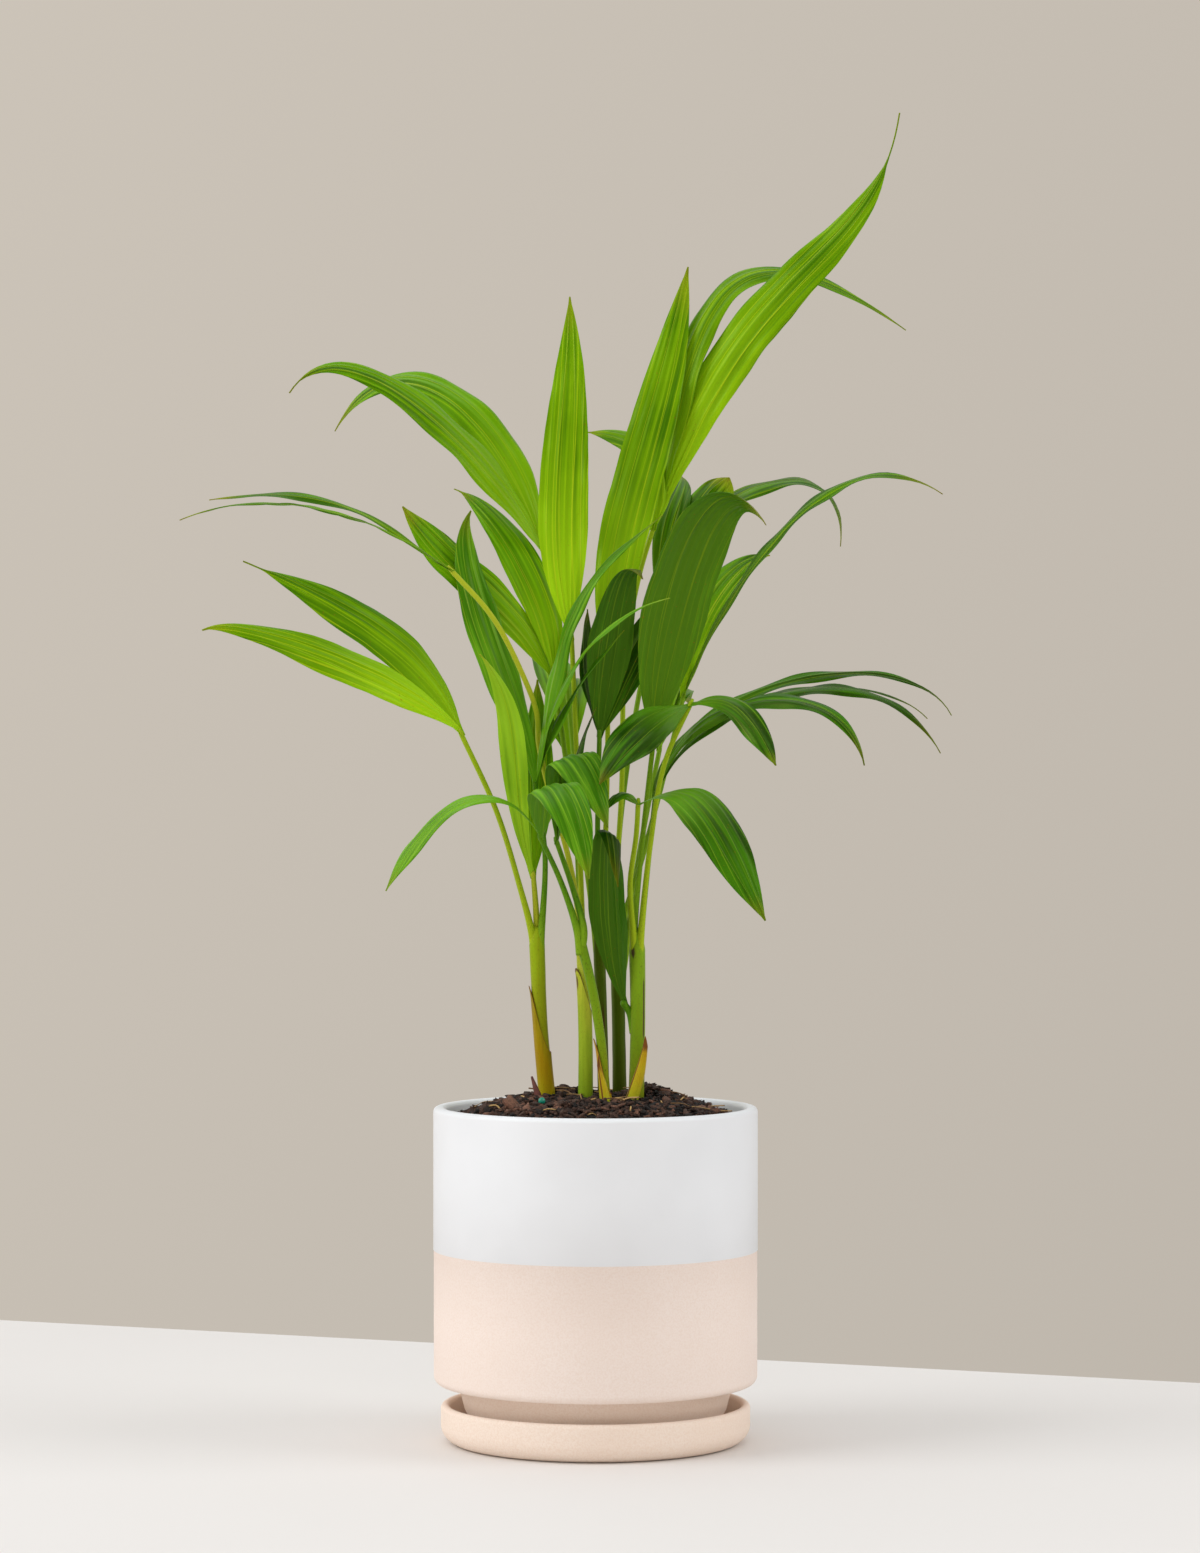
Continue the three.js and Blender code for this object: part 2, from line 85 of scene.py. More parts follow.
# %% Helpers for pieces
def piece(name, bm, material, slot, *nodes):
    """An object from a finished bmesh, smooth, riding on the body and standing for the nodes."""
    mesh = bpy.data.meshes.new(name)
    bm.to_mesh(mesh)
    bm.free()
    mesh.shade_smooth()
    mesh.materials.append(material)
    obj = bpy.data.objects.new(name, mesh)
    scene.collection.objects.link(obj)
    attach(obj, "root")
    if nodes:
        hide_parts(*nodes)
    return obj


# %% Helpers for shaders
def shader(name):
    """A new material, with its node tree and its main shader."""
    made = bpy.data.materials.new(name)
    made.use_nodes = True
    return made, made.node_tree, made.node_tree.nodes["Principled BSDF"]


def colour(code):
    """A linear colour from a web code."""
    values = [int(code[i:i + 2], 16) / 255 for i in (0, 2, 4)]
    return [v / 12.92 if v <= 0.04045 else ((v + 0.055) / 1.055) ** 2.4 for v in values] + [1.0]


def feed(tree, node, feeds):
    """Gives a node's sockets plain values, web colours or other nodes' outputs."""
    for socket, value in feeds.items():
        if isinstance(value, bpy.types.NodeSocket):
            tree.links.new(value, node.inputs[socket])
        else:
            node.inputs[socket].default_value = colour(value) if isinstance(value, str) else value
    return node


def add(tree, kind, feeds=None, **options):
    """One node, with its options and its feeds."""
    made = tree.nodes.new("ShaderNode" + kind)
    for option, value in options.items():
        setattr(made, option, value)
    return feed(tree, made, feeds or {})


def attribute(tree, name):
    return add(tree, "Attribute", attribute_name=name).outputs["Fac"]


def maths(tree, operation, first, second):
    return add(tree, "Math", {0: first, 1: second}, operation=operation).outputs[0]


def plus(tree, first, second):
    return maths(tree, "ADD", first, second)


def times(tree, first, second):
    return maths(tree, "MULTIPLY", first, second)


def ramp(tree, value, low, high, bottom=0.0, top=1.0):
    """value stretched from low..high to bottom..top, and held there."""
    feeds = {"Value": value, "From Min": low, "From Max": high, "To Min": bottom, "To Max": top}
    return add(tree, "MapRange", feeds, interpolation_type="SMOOTHSTEP").outputs["Result"]


def painted(tree, base, *coats):
    """A colour with others laid over it one by one, each as (share, colour)."""
    for share, tone in coats:
        base = add(tree, "Mix", {0: share, 6: base, 7: tone}, data_type="RGBA").outputs[2]
    return base


def speckle(tree, scale, detail=2.0, rough=0.5, place=None):
    """Noise in the piece's own coordinates, or in the place given."""
    place = place or add(tree, "TexCoord").outputs["Object"]
    feeds = {"Vector": place, "Scale": scale, "Detail": detail, "Roughness": rough}
    return add(tree, "TexNoise", feeds).outputs["Fac"]


def bump(tree, height, strength, depth):
    feeds = {"Height": height, "Strength": strength, "Distance": depth * MM}
    return add(tree, "Bump", feeds).outputs["Normal"]


# %% [markdown]
# ## Measured lines
#
# Petioles and the ribs of leaflets are curves that something is strung along. Line keeps a curve
# as close points and finds the place and the direction at any share of its length. through()
# draws a soft curve through given points, spaced by the square root of their distances, so that
# close points do not make it loop.

# %% Lines
STEP = 0.012
SPAN_POINTS = 16


class Line:
    def __init__(self, points):
        self.points = points
        self.reach = [0.0]
        for one, other in zip(points, points[1:]):
            self.reach.append(self.reach[-1] + (other - one).length)
        self.length = self.reach[-1]

    def point(self, share):
        want = min(max(share, 0.0), 1.0) * self.length
        i = bisect.bisect_left(self.reach, want, 1, len(self.reach) - 1)
        start = self.reach[i - 1]
        return self.points[i - 1].lerp(self.points[i], (want - start) / (self.reach[i] - start))

    def direction(self, share):
        return (self.point(share + STEP) - self.point(share - STEP)).normalized()


def through(points, per_span=SPAN_POINTS):
    """A Line through the points."""
    padded = [points[0] * 2 - points[1], *points, points[-1] * 2 - points[-2]]
    curve = [points[0].copy()]
    for before, start, end, after in zip(padded, padded[1:], padded[2:], padded[3:]):
        first, span, last = [math.sqrt((b - a).length)
                             for a, b in ((before, start), (start, end), (end, after))]
        leave = ((start - before) / first - (end - before) / (first + span)
                 + (end - start) / span) * span
        arrive = ((end - start) / span - (after - start) / (span + last)
                  + (after - end) / last) * span
        for i in range(1, per_span + 1):
            t = i / per_span
            curve.append(start * (2 * t ** 3 - 3 * t ** 2 + 1) + leave * (t ** 3 - 2 * t ** 2 + t)
                         + end * (3 * t ** 2 - 2 * t ** 3) + arrive * (t ** 3 - t ** 2))
    return Line(curve)


# %% [markdown]
# ## Rolled-up sleeves
#
# A cane, a petiole and even a leaflet are one shape: a grid rolled up into a sleeve, whose two
# long edges are welded and whose ends are closed. A leaflet is a sleeve pressed flat, so both its
# faces and its thin edges come in one closed mesh. The grid comes from an operator, and each
# corner then moves to its place in a list of rings. A corner also carries the marks that the
# finishes read: how far across and along the piece it lies, whether it is on a rib or an edge,
# whether it faces down, and a tone.

# %% Sleeves
MARKS = ("across", "along", "rib", "under", "tone")
WELD = 0.0005 * MM


def blank():
    """An empty bmesh that has a layer for each mark."""
    bm = bmesh.new()
    for mark in MARKS:
        bm.verts.layers.float.new(mark)
    return bm


def roll_up(bm, around, rows, corner):
    """Rolls up a grid. corner(u, v) gives the place and the marks of each corner, by two shares."""
    layers = [bm.verts.layers.float[mark] for mark in MARKS]
    grid = bmesh.ops.create_grid(bm, x_segments=around, y_segments=rows, size=0.5)["verts"]
    for vert in grid:
        vert.co, marks = corner(vert.co.x + 0.5, vert.co.y + 0.5)
        for layer, value in zip(layers, marks):
            vert[layer] = value
    bmesh.ops.remove_doubles(bm, verts=grid, dist=WELD)


def sleeve(bm, rings):
    """A sleeve along rings of corners, each a place and its marks, with closed ends."""
    around, rows = len(rings[0]), len(rings) - 1
    roll_up(bm, around, rows, lambda u, v: rings[round(v * rows)][round(u * around) % around])
    ends = [edge for edge in bm.edges if edge.is_boundary]
    bmesh.ops.holes_fill(bm, edges=ends, sides=0)


def closed(bm):
    """Turns every face outwards once all the sleeves are in."""
    bmesh.ops.recalc_face_normals(bm, faces=bm.faces)
    return bm


# %% [markdown]
# ## The plan of the plant
#
# The palm is a clump of six canes and two stubs of old sheaths, and every frond is a thin petiole
# that ends in one to four leaflets. These tables follow the plan that the model was built from,
# with a few leaflets rolled further. A cane has a foot and a top, three radii and a sideways bow.
# A frond grows from a cane at a turn and a distance from its middle, or drops from below its top,
# runs through a few points to its hand, the last of them, and fans out. It has a green for its
# leaflets and one for its stalk. A sunlit or a shaded green is painted light and shade.
#
# A leaflet has a tone, 0 deep in the shade to 1 sunlit, which is painted light and shade, a reach
# from the hand to its tip, two places where it bends up or aside from that straight line, a width,
# where it is widest, and how it is rolled at its root and at its tip. Some also say how quickly
# they taper or how far they arch.

# %% The tables
STEMS = {
    "left": dict(foot=(-24, 6), top=(-29, 4), height=245, radius=(3.7, 3.4, 3.9), bow=-0.8),
    "middle": dict(foot=(-5, -4), top=(-7, 2), height=244, radius=(3.2, 2.9, 2.7), bow=0.8),
    "front": dict(foot=(5, -15), top=(-7.5, -15), height=249, radius=(2.5, 2.3, 2.5), bow=2.4),
    "back_left": dict(foot=(4, 12), top=(1.5, 12), height=249, radius=(2.9, 2.7, 3.0), bow=0.3),
    "back": dict(foot=(12, 24), top=(10.5, 22), height=246, radius=(3.5, 3.3, 3.4), bow=0.2),
    "right": dict(foot=(20, -7), top=(20.5, -6), height=243, radius=(3.9, 3.6, 4.0), bow=0.6),
}

STUBS = {
    "right": dict(foot=(17.5, -15.5), tip=(24.5, -15, 196), radius=(3.4, 1.2), bow=0.6),
    "front": dict(foot=(5, -21), tip=(1.5, -20, 187), radius=(2.4, 0.7), bow=0.3),
}


def frond(stem, turn, off, green, path, *leaflets, drop=0, stalk=None):
    return dict(stem=stem, turn=turn, off=off, green=green, path=path, leaflets=leaflets,
                drop=drop, stalk=stalk or green)


def leaf(tone, to, low, high, width, widest=0.5, roll=(0, 0), taper=1.7, tail=0, arched=0.13):
    return dict(tone=tone, to=to, bends=(low, high), width=width, widest=widest, roll=roll,
                taper=taper, tail=tail, arched=arched)


# Sunlit and shaded greens, and each leaflet's tone, are painted light and shade.
FRONDS = {
    "left_fan": frond("left", 190, 2.3, "leaf_bright", ((-38, 0, 276), (-49, -9, 312), (-67, -20, 352)),
        leaf(0.15, (-107, 15, 83), (0.19, 16), (0.44, 22), 21.6, 0.46, (-52, -65), tail=0.07),
        leaf(0.55, (-122, -42, 47), (0.1, 14), (0.9, 16), 20, 0.44, (-67, -62))),
    "left_long": frond("front", 90, 1.9, "leaf", ((-10, -7, 272), (-15, -2, 295), (-22, 1, 318),
        (-28, -1, 344), (-29, -12, 360), (-35, -24, 377), (-50, -36, 406), (-72, -38, 431)),
        leaf(0.1, (-117, 14, 33), (0.32, 12), (0.51, 29), 7.5, 0.72, (-30, -20)),
        leaf(0.1, (-128, -22, 21), (0.39, 26), (0.75, 22), 5, 0.5, (-5, -5)), stalk="yellow"),
    "left_high": frond("back_left", 180, 1.8, "leaf", ((-8, 24, 310), (-15, 38, 380), (-20, 39, 415),
        (-27, 32, 443)),
        leaf(0.5, (-125, -26, 76), (0.23, 26), (1, 54), 21, 0.35, (-52, -53), taper=2, tail=0.04),
        leaf(0.5, (-107, 49, 63), (0.31, 51), (1, 70, 2), 21, 0.38, (-47, -47), taper=2.3)),
    "left_broad": frond("middle", 120, 1.8, "leaf", ((-9, 6, 290), (-16, 10, 345), (-22, 14, 381)),
        leaf(0.45, (-50, 46, 94), (0.19, 23, 1), (0.79, 20, 2), 20, 0.4, (-30, -35),
             taper=2.3, tail=0.03),
        leaf(0.45, (-74, -4, 82), (0.4, 12), (0.55, -2), 22, 0.5, (-60, -58), taper=2.8)),
    "upright": frond("middle", 280, 1.7, "leaf_bright", ((-8, 1, 300), (-10, 2, 355), (-12, 4, 400)),
        leaf(0.45, (-1, 31, 170), (0.38, 4, -10), (0.66, 9, 2), 25, 0.34, (0, 0), taper=2.1)),
    "tall": frond("back_left", 45, 1.8, "leaf_bright", ((5, 14, 300), (6, 14, 345), (6, 16, 380)),
        leaf(0.35, (41, 44, 208), (0.31, 20, -2), (0.53, 1, 3), 25, 0.39, (34, 39), taper=2.6)),
    "top_right": frond("back", 210, 2, "leaf_bright", ((13, 32, 320), (15, 40, 390), (22, 44, 430),
        (30, 46, 457)),
        leaf(0.3, (124, 5, 208), (0.59, 36), (0.69, -31), 24, 0.42, (75, 61), taper=2.5, tail=0.1),
        leaf(0.15, (130, 45, 102), (0.46, 74), (0.75, 119), 17, 0.33, (29, 48)),
        leaf(0.2, (-34, 16, 47), (0.3, 27), (0.65, 27), 17, 0.45, (-50, -50))),
    "right_high": frond("back", 330, 2, "leaf", ((24, 30, 290), (36, 40, 335), (45, 45, 372)),
        leaf(0.05, (130, -5, 99), (0.28, 30), (0.88, 66), 9, 0.64, (40, 20)),
        leaf(0.4, (45, 50, 71), (0.18, 20), (0.75, 26), 18, 0.51, (41, 44))),
    "right_back": frond("back", 90, 2, "leaf", ((12, 48, 300), (22, 66, 370), (33, 72, 419)),
        leaf(0.2, (36, 20, 64), (0.56, -2, 1), (0.41, 12), 22, 0.52, (47, 45), taper=7),
        leaf(0.1, (95, 50, 30), (0.15, 52), (1.25, 62), 13, 0.68, (30, 20)),
        leaf(0.05, (10, 40, 67), (0.59, 26), (0.86, 9, 12), 15.4, 0.61, (18, 0), tail=0.05)),
    "right_broad": frond("right", 135, 2.3, "leaf", ((23, 1, 295), (29, 4, 349)),
        leaf(-0.1, (54, -40, 102), (0.32, 23), (1.19, 57), 33.7, 0.45, (-48, -26), taper=3)),
    # Its stalk takes the sunlit petiole green, which is painted light.
    "right_low": frond("right", 315, 2.3, "leaf_dark", ((27, -8, 295), (34, -9, 335), (48, -6, 367)),
        leaf(0.18, (-46, -54, -42), (0.3, 10), (0.65, 10), 24, 0.5, (-35, -25)),
        leaf(0.2, (39, -49, -33), (0.34, 21), (0.61, 13, -2), 13, 0.6, (50, 25), taper=2.1),
        stalk="leaf_bright"),
    "right_arching": frond("right", 45, 2.3, "leaf_dark", ((26, 1, 285), (30, 8, 322)),
        leaf(0.15, (147, 2, 37), (0.14, 55), (0.94, 46), 9, 0.55, (45, 20)),
        leaf(0.1, (138, -43, 18), (0.12, 42), (0.84, 66), 9, 0.55, (50, 22)),
        leaf(0.1, (138, 42, 36), (0.07, 50), (0.85, 40), 8, 0.35, (15, 15)),
        leaf(0.15, (100, -58, 12), (0.2, 54, 3), (0.98, 50), 11, 0.6, (60, 22))),
    # Its stalk takes the sunlit petiole green: painted light on its lit side.
    "front_right": frond("right", 225, 2.3, "leaf_dark", ((17, -11, 275), (20, -17, 300),
        (21, -24, 318)),
        leaf(0.27, (60, -56, -58), (0.21, 34, -2), (0.4, 28, 4), 26, 0.47, (12, 38)),
        leaf(0.4, (-16, -10, -6), (0.3, 10), (0.65, 10), 12), stalk="leaf_bright"),
    "front_left": frond("front", 215, 1.9, "leaf_dark", ((-17, -17, 277), (-28, -22, 301)),
        leaf(0.8, (-74, -15, -28), (0.08, 41), (0.54, 39), 17, 0.6, (-6, -24)),
        leaf(0.65, (25, -66, -21), (0.3, 50, 12), (0.65, 46, 6), 24, 0.5, (10, 10))),
    "front_fold": frond("front", 335, 1.9, "leaf_dark", ((-11, -13, 273), (-20, -10, 299)),
        leaf(0.65, (26, -42, 5), (0.3, 53, 4), (0.65, 53, 4), 25, 0.5, (15, 15)),
        leaf(-0.1, (20, -1, 63), (0.3, 4), (0.65, 4), 19, 0.5, (-10, 0))),
    "left_narrow": frond("left", 330, 2.3, "leaf_dark", ((-25, -1, 290), (-30, -10, 326)),
        leaf(0.65, (-32, 22, 135), (0.2, 10, -5), (0.86, -16, -11), 19, 0.49, (-34, -36), taper=2.5),
        leaf(0.65, (63, -6, 131), (0.59, 25), (0.65, 27), 12, 0.4, (50, 30)),
        leaf(0.7, (66, -38, 89), (0.35, 26, 1), (0.71, 29, 2), 12, 0.4, (45, 20)),
        leaf(0.65, (44, -20, 74), (0.26, 10), (0.59, 10, -1), 9, 0.4, (50, 25))),
    "left_bright": frond("left", 90, 2.3, "leaf_bright", ((-29.5, 4, 262), (-31, 0, 282)),
        leaf(1.0, (-25, -42, 106), (0.43, -2, 3), (0.66, 23, -4), 13.5, 0.6, (38, 8), taper=1.3),
        leaf(0.1, (2, 14, 95), (0.3, -2), (0.65, -2), 18), stalk="yellow"),
    "shade": frond("back_left", 290, 1.8, "leaf_dark", ((1, 7, 300), (2, 2, 352)),
        leaf(0.0, (21, -32, 73), (0.4, 12), (1.15, 28), 23, 0.5, (-30, 0)),
        leaf(0.0, (40, 24, 75), (0.3, 4), (0.65, 4), 18, 0.5, (55, 60)),
        leaf(-0.1, (-6, 10, 60), (0.3, -3), (0.65, -3), 15, 0.5, (30, 20))),
    "low_fold": frond("right", 170, 0, "leaf_dark", ((13, -8, 218),),
        leaf(0.0, (-2, -32, 57), (0.54, 19, 12), (1.84, 37, 1), 21, 0.5, (0, -52), arched=0.42),
        drop=36),
    "back_left": frond("back_left", 110, 0, "leaf", ((-2, 28, 285), (-14, 46, 340)),
        leaf(0.2, (-20, 78, 55), (0.3, 28), (0.65, 28), 20),
        leaf(0.2, (4, 88, 25), (0.3, 38), (0.65, 38), 20),
        leaf(0.2, (-26, 55, 10), (0.3, 24), (0.65, 24), 16), drop=12),
    "back_right": frond("back", 20, 0, "leaf", ((22, 36, 290), (33, 58, 345)),
        leaf(0.2, (14, 92, 40), (0.3, 38), (0.65, 38), 20),
        leaf(0.2, (16, 74, 22), (0.3, 26), (0.65, 26), 20),
        leaf(0.2, (8, 84, 60), (0.3, 21), (0.65, 21), 18), drop=14),
}

print(len(STEMS), "canes,", len(STUBS), "stubs and", len(FRONDS), "fronds")

# %% [markdown]
# ## The finish of the pot
#
# The pot is one piece of pale clay. Its upper half is dipped in a white satin glaze that ends in
# a crisp line, and below it the bare clay shows. The foot, where it draws in, takes the saucer's
# warmer and lighter clay, which there is painted light from the pale floor under the body. They
# are three materials, given to the faces by height, because an edge of glaze is as sharp as that.
#
# Bare clay is never quite one colour. A very fine noise gives a faint grit, a wide one the
# cloudiness of the firing, and the same grit, as a bump, makes the surface matte.

# %% Glaze and clay
GLAZE_LINE = 95.0 * MM
GRIT_SCALE = 1100.0
CLOUD_SCALE = 22.0


def clay_finish(name, light, grey):
    """Bare clay: a very fine, faint grit on one pale colour."""
    material, tree, skin = shader(name)
    cloud = speckle(tree, CLOUD_SCALE)
    grit = speckle(tree, GRIT_SCALE, 3.0, 0.6)
    body = painted(tree, light, (ramp(tree, grit, 0.35, 0.7, 0.0, 0.7), grey),
                   (ramp(tree, cloud, 0.2, 0.8, 0.0, 0.35), grey))
    feed(tree, skin, {"Base Color": body, "Roughness": 0.85, "Specular IOR Level": 0.25,
                      "Normal": bump(tree, grit, 0.4, 0.08)})
    return material


def glaze_finish(name, white, shadow):
    material, tree, skin = shader(name)
    body = painted(tree, white, (ramp(tree, speckle(tree, CLOUD_SCALE), 0.3, 0.7), shadow))
    satin = ramp(tree, speckle(tree, 260.0, 3.0), 0.2, 0.8, 0.36, 0.46)
    feed(tree, skin, {"Base Color": body, "Roughness": satin, "Specular IOR Level": 0.35,
                      "Normal": bump(tree, speckle(tree, 90.0, 1.0), 0.15, 0.12)})
    return material


# Both clays, and so the saucer, are painted a little lighter than their own colour, for the light that
# the floor throws up on the lower pot. On the foot, the warm clay is painted light.
BARE_CLAY = clay_finish("bare_clay", "f7e9e1", "efdcd0")
WARM_CLAY_AND_BOUNCE = clay_finish("warm_clay_and_bounce", "f9e9dc", "efd8c6")
GLAZE = glaze_finish("white_glaze", "eef0f4", "eaecf0")
print("finishes so far:", BARE_CLAY.name, WARM_CLAY_AND_BOUNCE.name, GLAZE.name)

# %% [markdown]
# ## Pot and saucer
#
# Both are turned on a wheel, so each is a half outline that one spin takes round the axis: a
# chain of edges, with an arc wherever the potter's sponge rounds the real edge. The glaze stands a
# hair proud of the clay.
#
# A spin leaves its first and last copy apart unless it is told to merge them, and it leaves a
# fan of loose corners on the axis, so doubles are removed and the faces turned outwards after it.

# %% Turned pieces
POT_RADIUS = 80
POT_WALL = 6
RIM_HEIGHT = 165.5
RIM_ROUND = 2.4
BODY_BOTTOM = 29
BODY_CORNER = 4
FOOT_TOP_RADIUS = 67
FOOT_RADIUS = 55
POT_FLOOR = 8
DRAIN_RADIUS = 7
SAUCER_RADIUS = 76.5
SAUCER_HEIGHT = 19
SAUCER_WALL = 4.6
SAUCER_FLOOR = 6
SAUCER_CORNER = 9
CLEAR = 0.3
SPIN_STEPS = 144
ARC_STEPS = 8
GLAZE_PROUD = 0.25


def arc(radius, height, size, start, end):
    """Points of a rounded edge in an outline, from one angle to another, in degrees."""
    angles = [math.radians(start + (end - start) * i / ARC_STEPS) for i in range(ARC_STEPS + 1)]
    return [(radius + size * math.cos(a), height + size * math.sin(a)) for a in angles]


def turned(outline, loop):
    """Spins an outline of radii and heights round the axis. loop closes it on itself."""
    bm = blank()
    corners = [bm.verts.new(Vector((radius, 0, height)) * MM) for radius, height in outline]
    for one, other in zip(corners, corners[1:] + corners[:1] if loop else corners[1:]):
        bm.edges.new((one, other))
    bmesh.ops.spin(bm, geom=bm.verts[:] + bm.edges[:], cent=(0, 0, 0), axis=UP, dvec=(0, 0, 0),
                   angle=math.tau, steps=SPIN_STEPS, use_merge=True, use_duplicate=False)
    bmesh.ops.remove_doubles(bm, verts=bm.verts, dist=WELD)
    return closed(bm)


def sharpened(obj, angle=50):
    """Keeps the edges crisp where the outline turns a corner."""
    obj.data.set_sharp_from_angle(angle=math.radians(angle))
    return obj


foot = SAUCER_FLOOR + CLEAR
inside = POT_RADIUS - POT_WALL
pot_outline = [
    (DRAIN_RADIUS, foot),
    (FOOT_RADIUS - 1, foot),
    (FOOT_RADIUS, foot + 1),
    *[(FOOT_RADIUS + (FOOT_TOP_RADIUS - FOOT_RADIUS) * math.sin(math.radians(a)),
       BODY_BOTTOM + (foot + 1 - BODY_BOTTOM) * math.cos(math.radians(a))) for a in (15, 35, 55, 75)],
    (FOOT_TOP_RADIUS, BODY_BOTTOM),
    *arc(POT_RADIUS - BODY_CORNER, BODY_BOTTOM + BODY_CORNER, BODY_CORNER, -90, 0),
    (POT_RADIUS, 60),
    (POT_RADIUS, GLAZE_LINE / MM - 0.15),
    (POT_RADIUS + GLAZE_PROUD, GLAZE_LINE / MM + 0.15),
    (POT_RADIUS + GLAZE_PROUD, 130),
    *arc(POT_RADIUS - RIM_ROUND + GLAZE_PROUD, RIM_HEIGHT - RIM_ROUND, RIM_ROUND, 0, 90),
    *arc(inside + RIM_ROUND, RIM_HEIGHT - RIM_ROUND, RIM_ROUND, 90, 180),
    (inside, 100),
    (inside, BODY_BOTTOM + POT_WALL + BODY_CORNER),
    (FOOT_TOP_RADIUS - POT_WALL, BODY_BOTTOM + POT_WALL),
    (FOOT_RADIUS - POT_WALL, foot + POT_FLOOR),
    (DRAIN_RADIUS, foot + POT_FLOOR),
]
pot = sharpened(piece("pot_body", turned(pot_outline, True), BARE_CLAY, "pot", "pot"))
pot.data.materials.append(GLAZE)
pot.data.materials.append(WARM_CLAY_AND_BOUNCE)
# Faces below the body get the warm clay: painted light from the floor on the foot.
for face in pot.data.polygons:
    height = face.center.z
    face.material_index = 1 if height > GLAZE_LINE else 2 if height < BODY_BOTTOM * MM else 0
print("the pot has", len(pot.data.polygons), "faces")

# %% The saucer
rim = SAUCER_WALL / 2
lip = SAUCER_RADIUS - SAUCER_WALL
saucer_outline = [
    (0, 0),
    *arc(SAUCER_RADIUS - SAUCER_CORNER, SAUCER_CORNER, SAUCER_CORNER, -90, 0),
    *arc(SAUCER_RADIUS - rim, SAUCER_HEIGHT - rim, rim, 0, 90),
    *arc(SAUCER_RADIUS - rim, SAUCER_HEIGHT - rim, rim, 90, 180),
    *arc(lip - rim, SAUCER_FLOOR + rim, rim, 0, -90),
    (40, SAUCER_FLOOR),
    (0, SAUCER_FLOOR),
]
saucer = sharpened(piece("saucer_dish", turned(saucer_outline, False), WARM_CLAY_AND_BOUNCE, "saucer", "saucer"))
print("the saucer has", len(saucer.data.polygons), "faces")

# %% [markdown]
# ## Potting mix
#
# The pot is filled with a dark mix of composted bark: small broken chips, a few pale straws, some
# crumbs and one round bead of plant food. One heaped surface with a bump would look like velvet
# against the white rim, so the chips are real: little blocks with their corners knocked about,
# scattered on the heap by a seeded draw and joined.
#
# The heap under them is the model's outline, spun and then roughened. heap_height() says how
# high it stands at a radius, and everything that lies on it asks there.

# %% The soil's finish
def bark_finish(name, dark, brown, warm):
    """Each chip has its own tone: most are nearly black, a few red-brown. The heap's black is partly
    painted shade.
    """
    material, tree, skin = shader(name)
    tone = attribute(tree, "tone")
    grain = ramp(tree, speckle(tree, 900.0, 4.0, 0.7), 0.3, 0.7)
    body = painted(tree, dark, (ramp(tree, tone, 0.1, 0.75), brown),
                   (ramp(tree, tone, 0.8, 0.97), warm), (times(tree, grain, 0.55), dark))
    feed(tree, skin, {"Base Color": body, "Roughness": 0.78, "Normal": bump(tree, grain, 0.8, 0.4)})
    return material


def fibre_finish(name, light, dark):
    material, tree, skin = shader(name)
    fibres = times(tree, speckle(tree, 700.0, 3.0), 0.4)
    share = plus(tree, times(tree, attribute(tree, "tone"), 0.6), fibres)
    body = painted(tree, light, (ramp(tree, share, 0.2, 0.8), dark),
                   (ramp(tree, attribute(tree, "along"), 0.8, 1.0, 0.0, 0.6), dark))
    feed(tree, skin, {"Base Color": body, "Roughness": 0.7})
    return material


BARK = bark_finish("bark_mix", "150f0d", "5e3f30", "946650")
STRAW = fibre_finish("straw", "c9a468", "6e4d2a")
print("finishes of the soil:", BARK.name, STRAW.name)

# %% The heap
SOIL_EDGE = 157.5
SOIL_TOP = 169
SOIL_LEVEL_RADIUS = 34
SOIL_SHOULDER = (0.5, 0.65)
SOIL_RADIUS = inside - CLEAR
SOIL_FLOOR = foot + POT_FLOOR + CLEAR


def mix(one, other, share):
    return one + (other - one) * share


SHOULDER_RADIUS = mix(SOIL_RADIUS, SOIL_LEVEL_RADIUS, SOIL_SHOULDER[0])
SHOULDER_HEIGHT = mix(SOIL_EDGE, SOIL_TOP, SOIL_SHOULDER[1])


def heap_height(radius):
    """The height of the heap's surface at a distance from the axis."""
    if radius <= SOIL_LEVEL_RADIUS:
        return SOIL_TOP
    if radius <= SHOULDER_RADIUS:
        share = (radius - SOIL_LEVEL_RADIUS) / (SHOULDER_RADIUS - SOIL_LEVEL_RADIUS)
        return mix(SOIL_TOP, SHOULDER_HEIGHT, share)
    share = (radius - SHOULDER_RADIUS) / (SOIL_RADIUS - SHOULDER_RADIUS)
    return mix(SHOULDER_HEIGHT, SOIL_EDGE, min(share, 1.0))


surface = [(radius, heap_height(radius)) for radius in range(72, 0, -2)]
heap_outline = [
    (0, SOIL_FLOOR),
    (FOOT_RADIUS - POT_WALL - CLEAR, SOIL_FLOOR),
    (FOOT_TOP_RADIUS - POT_WALL - CLEAR, BODY_BOTTOM + POT_WALL + CLEAR),
    (SOIL_RADIUS, BODY_BOTTOM + POT_WALL + BODY_CORNER + CLEAR),
    (SOIL_RADIUS, SOIL_EDGE),
    *surface,
    (0, SOIL_TOP),
]
heap = turned(heap_outline, False)
ROUGHNESS_SIZE = 5.0
ROUGHNESS_HEIGHT = 1.1
for vert in heap.verts:
    if vert.co.z > (SOIL_EDGE - 0.1) * MM and vert.co.xy.length < (SOIL_RADIUS - 0.5) * MM:
        lump = noise.fractal(vert.co / (ROUGHNESS_SIZE * MM), 0.8, 2.0, 3)
        vert.co.z += (lump - 0.4) * ROUGHNESS_HEIGHT * MM
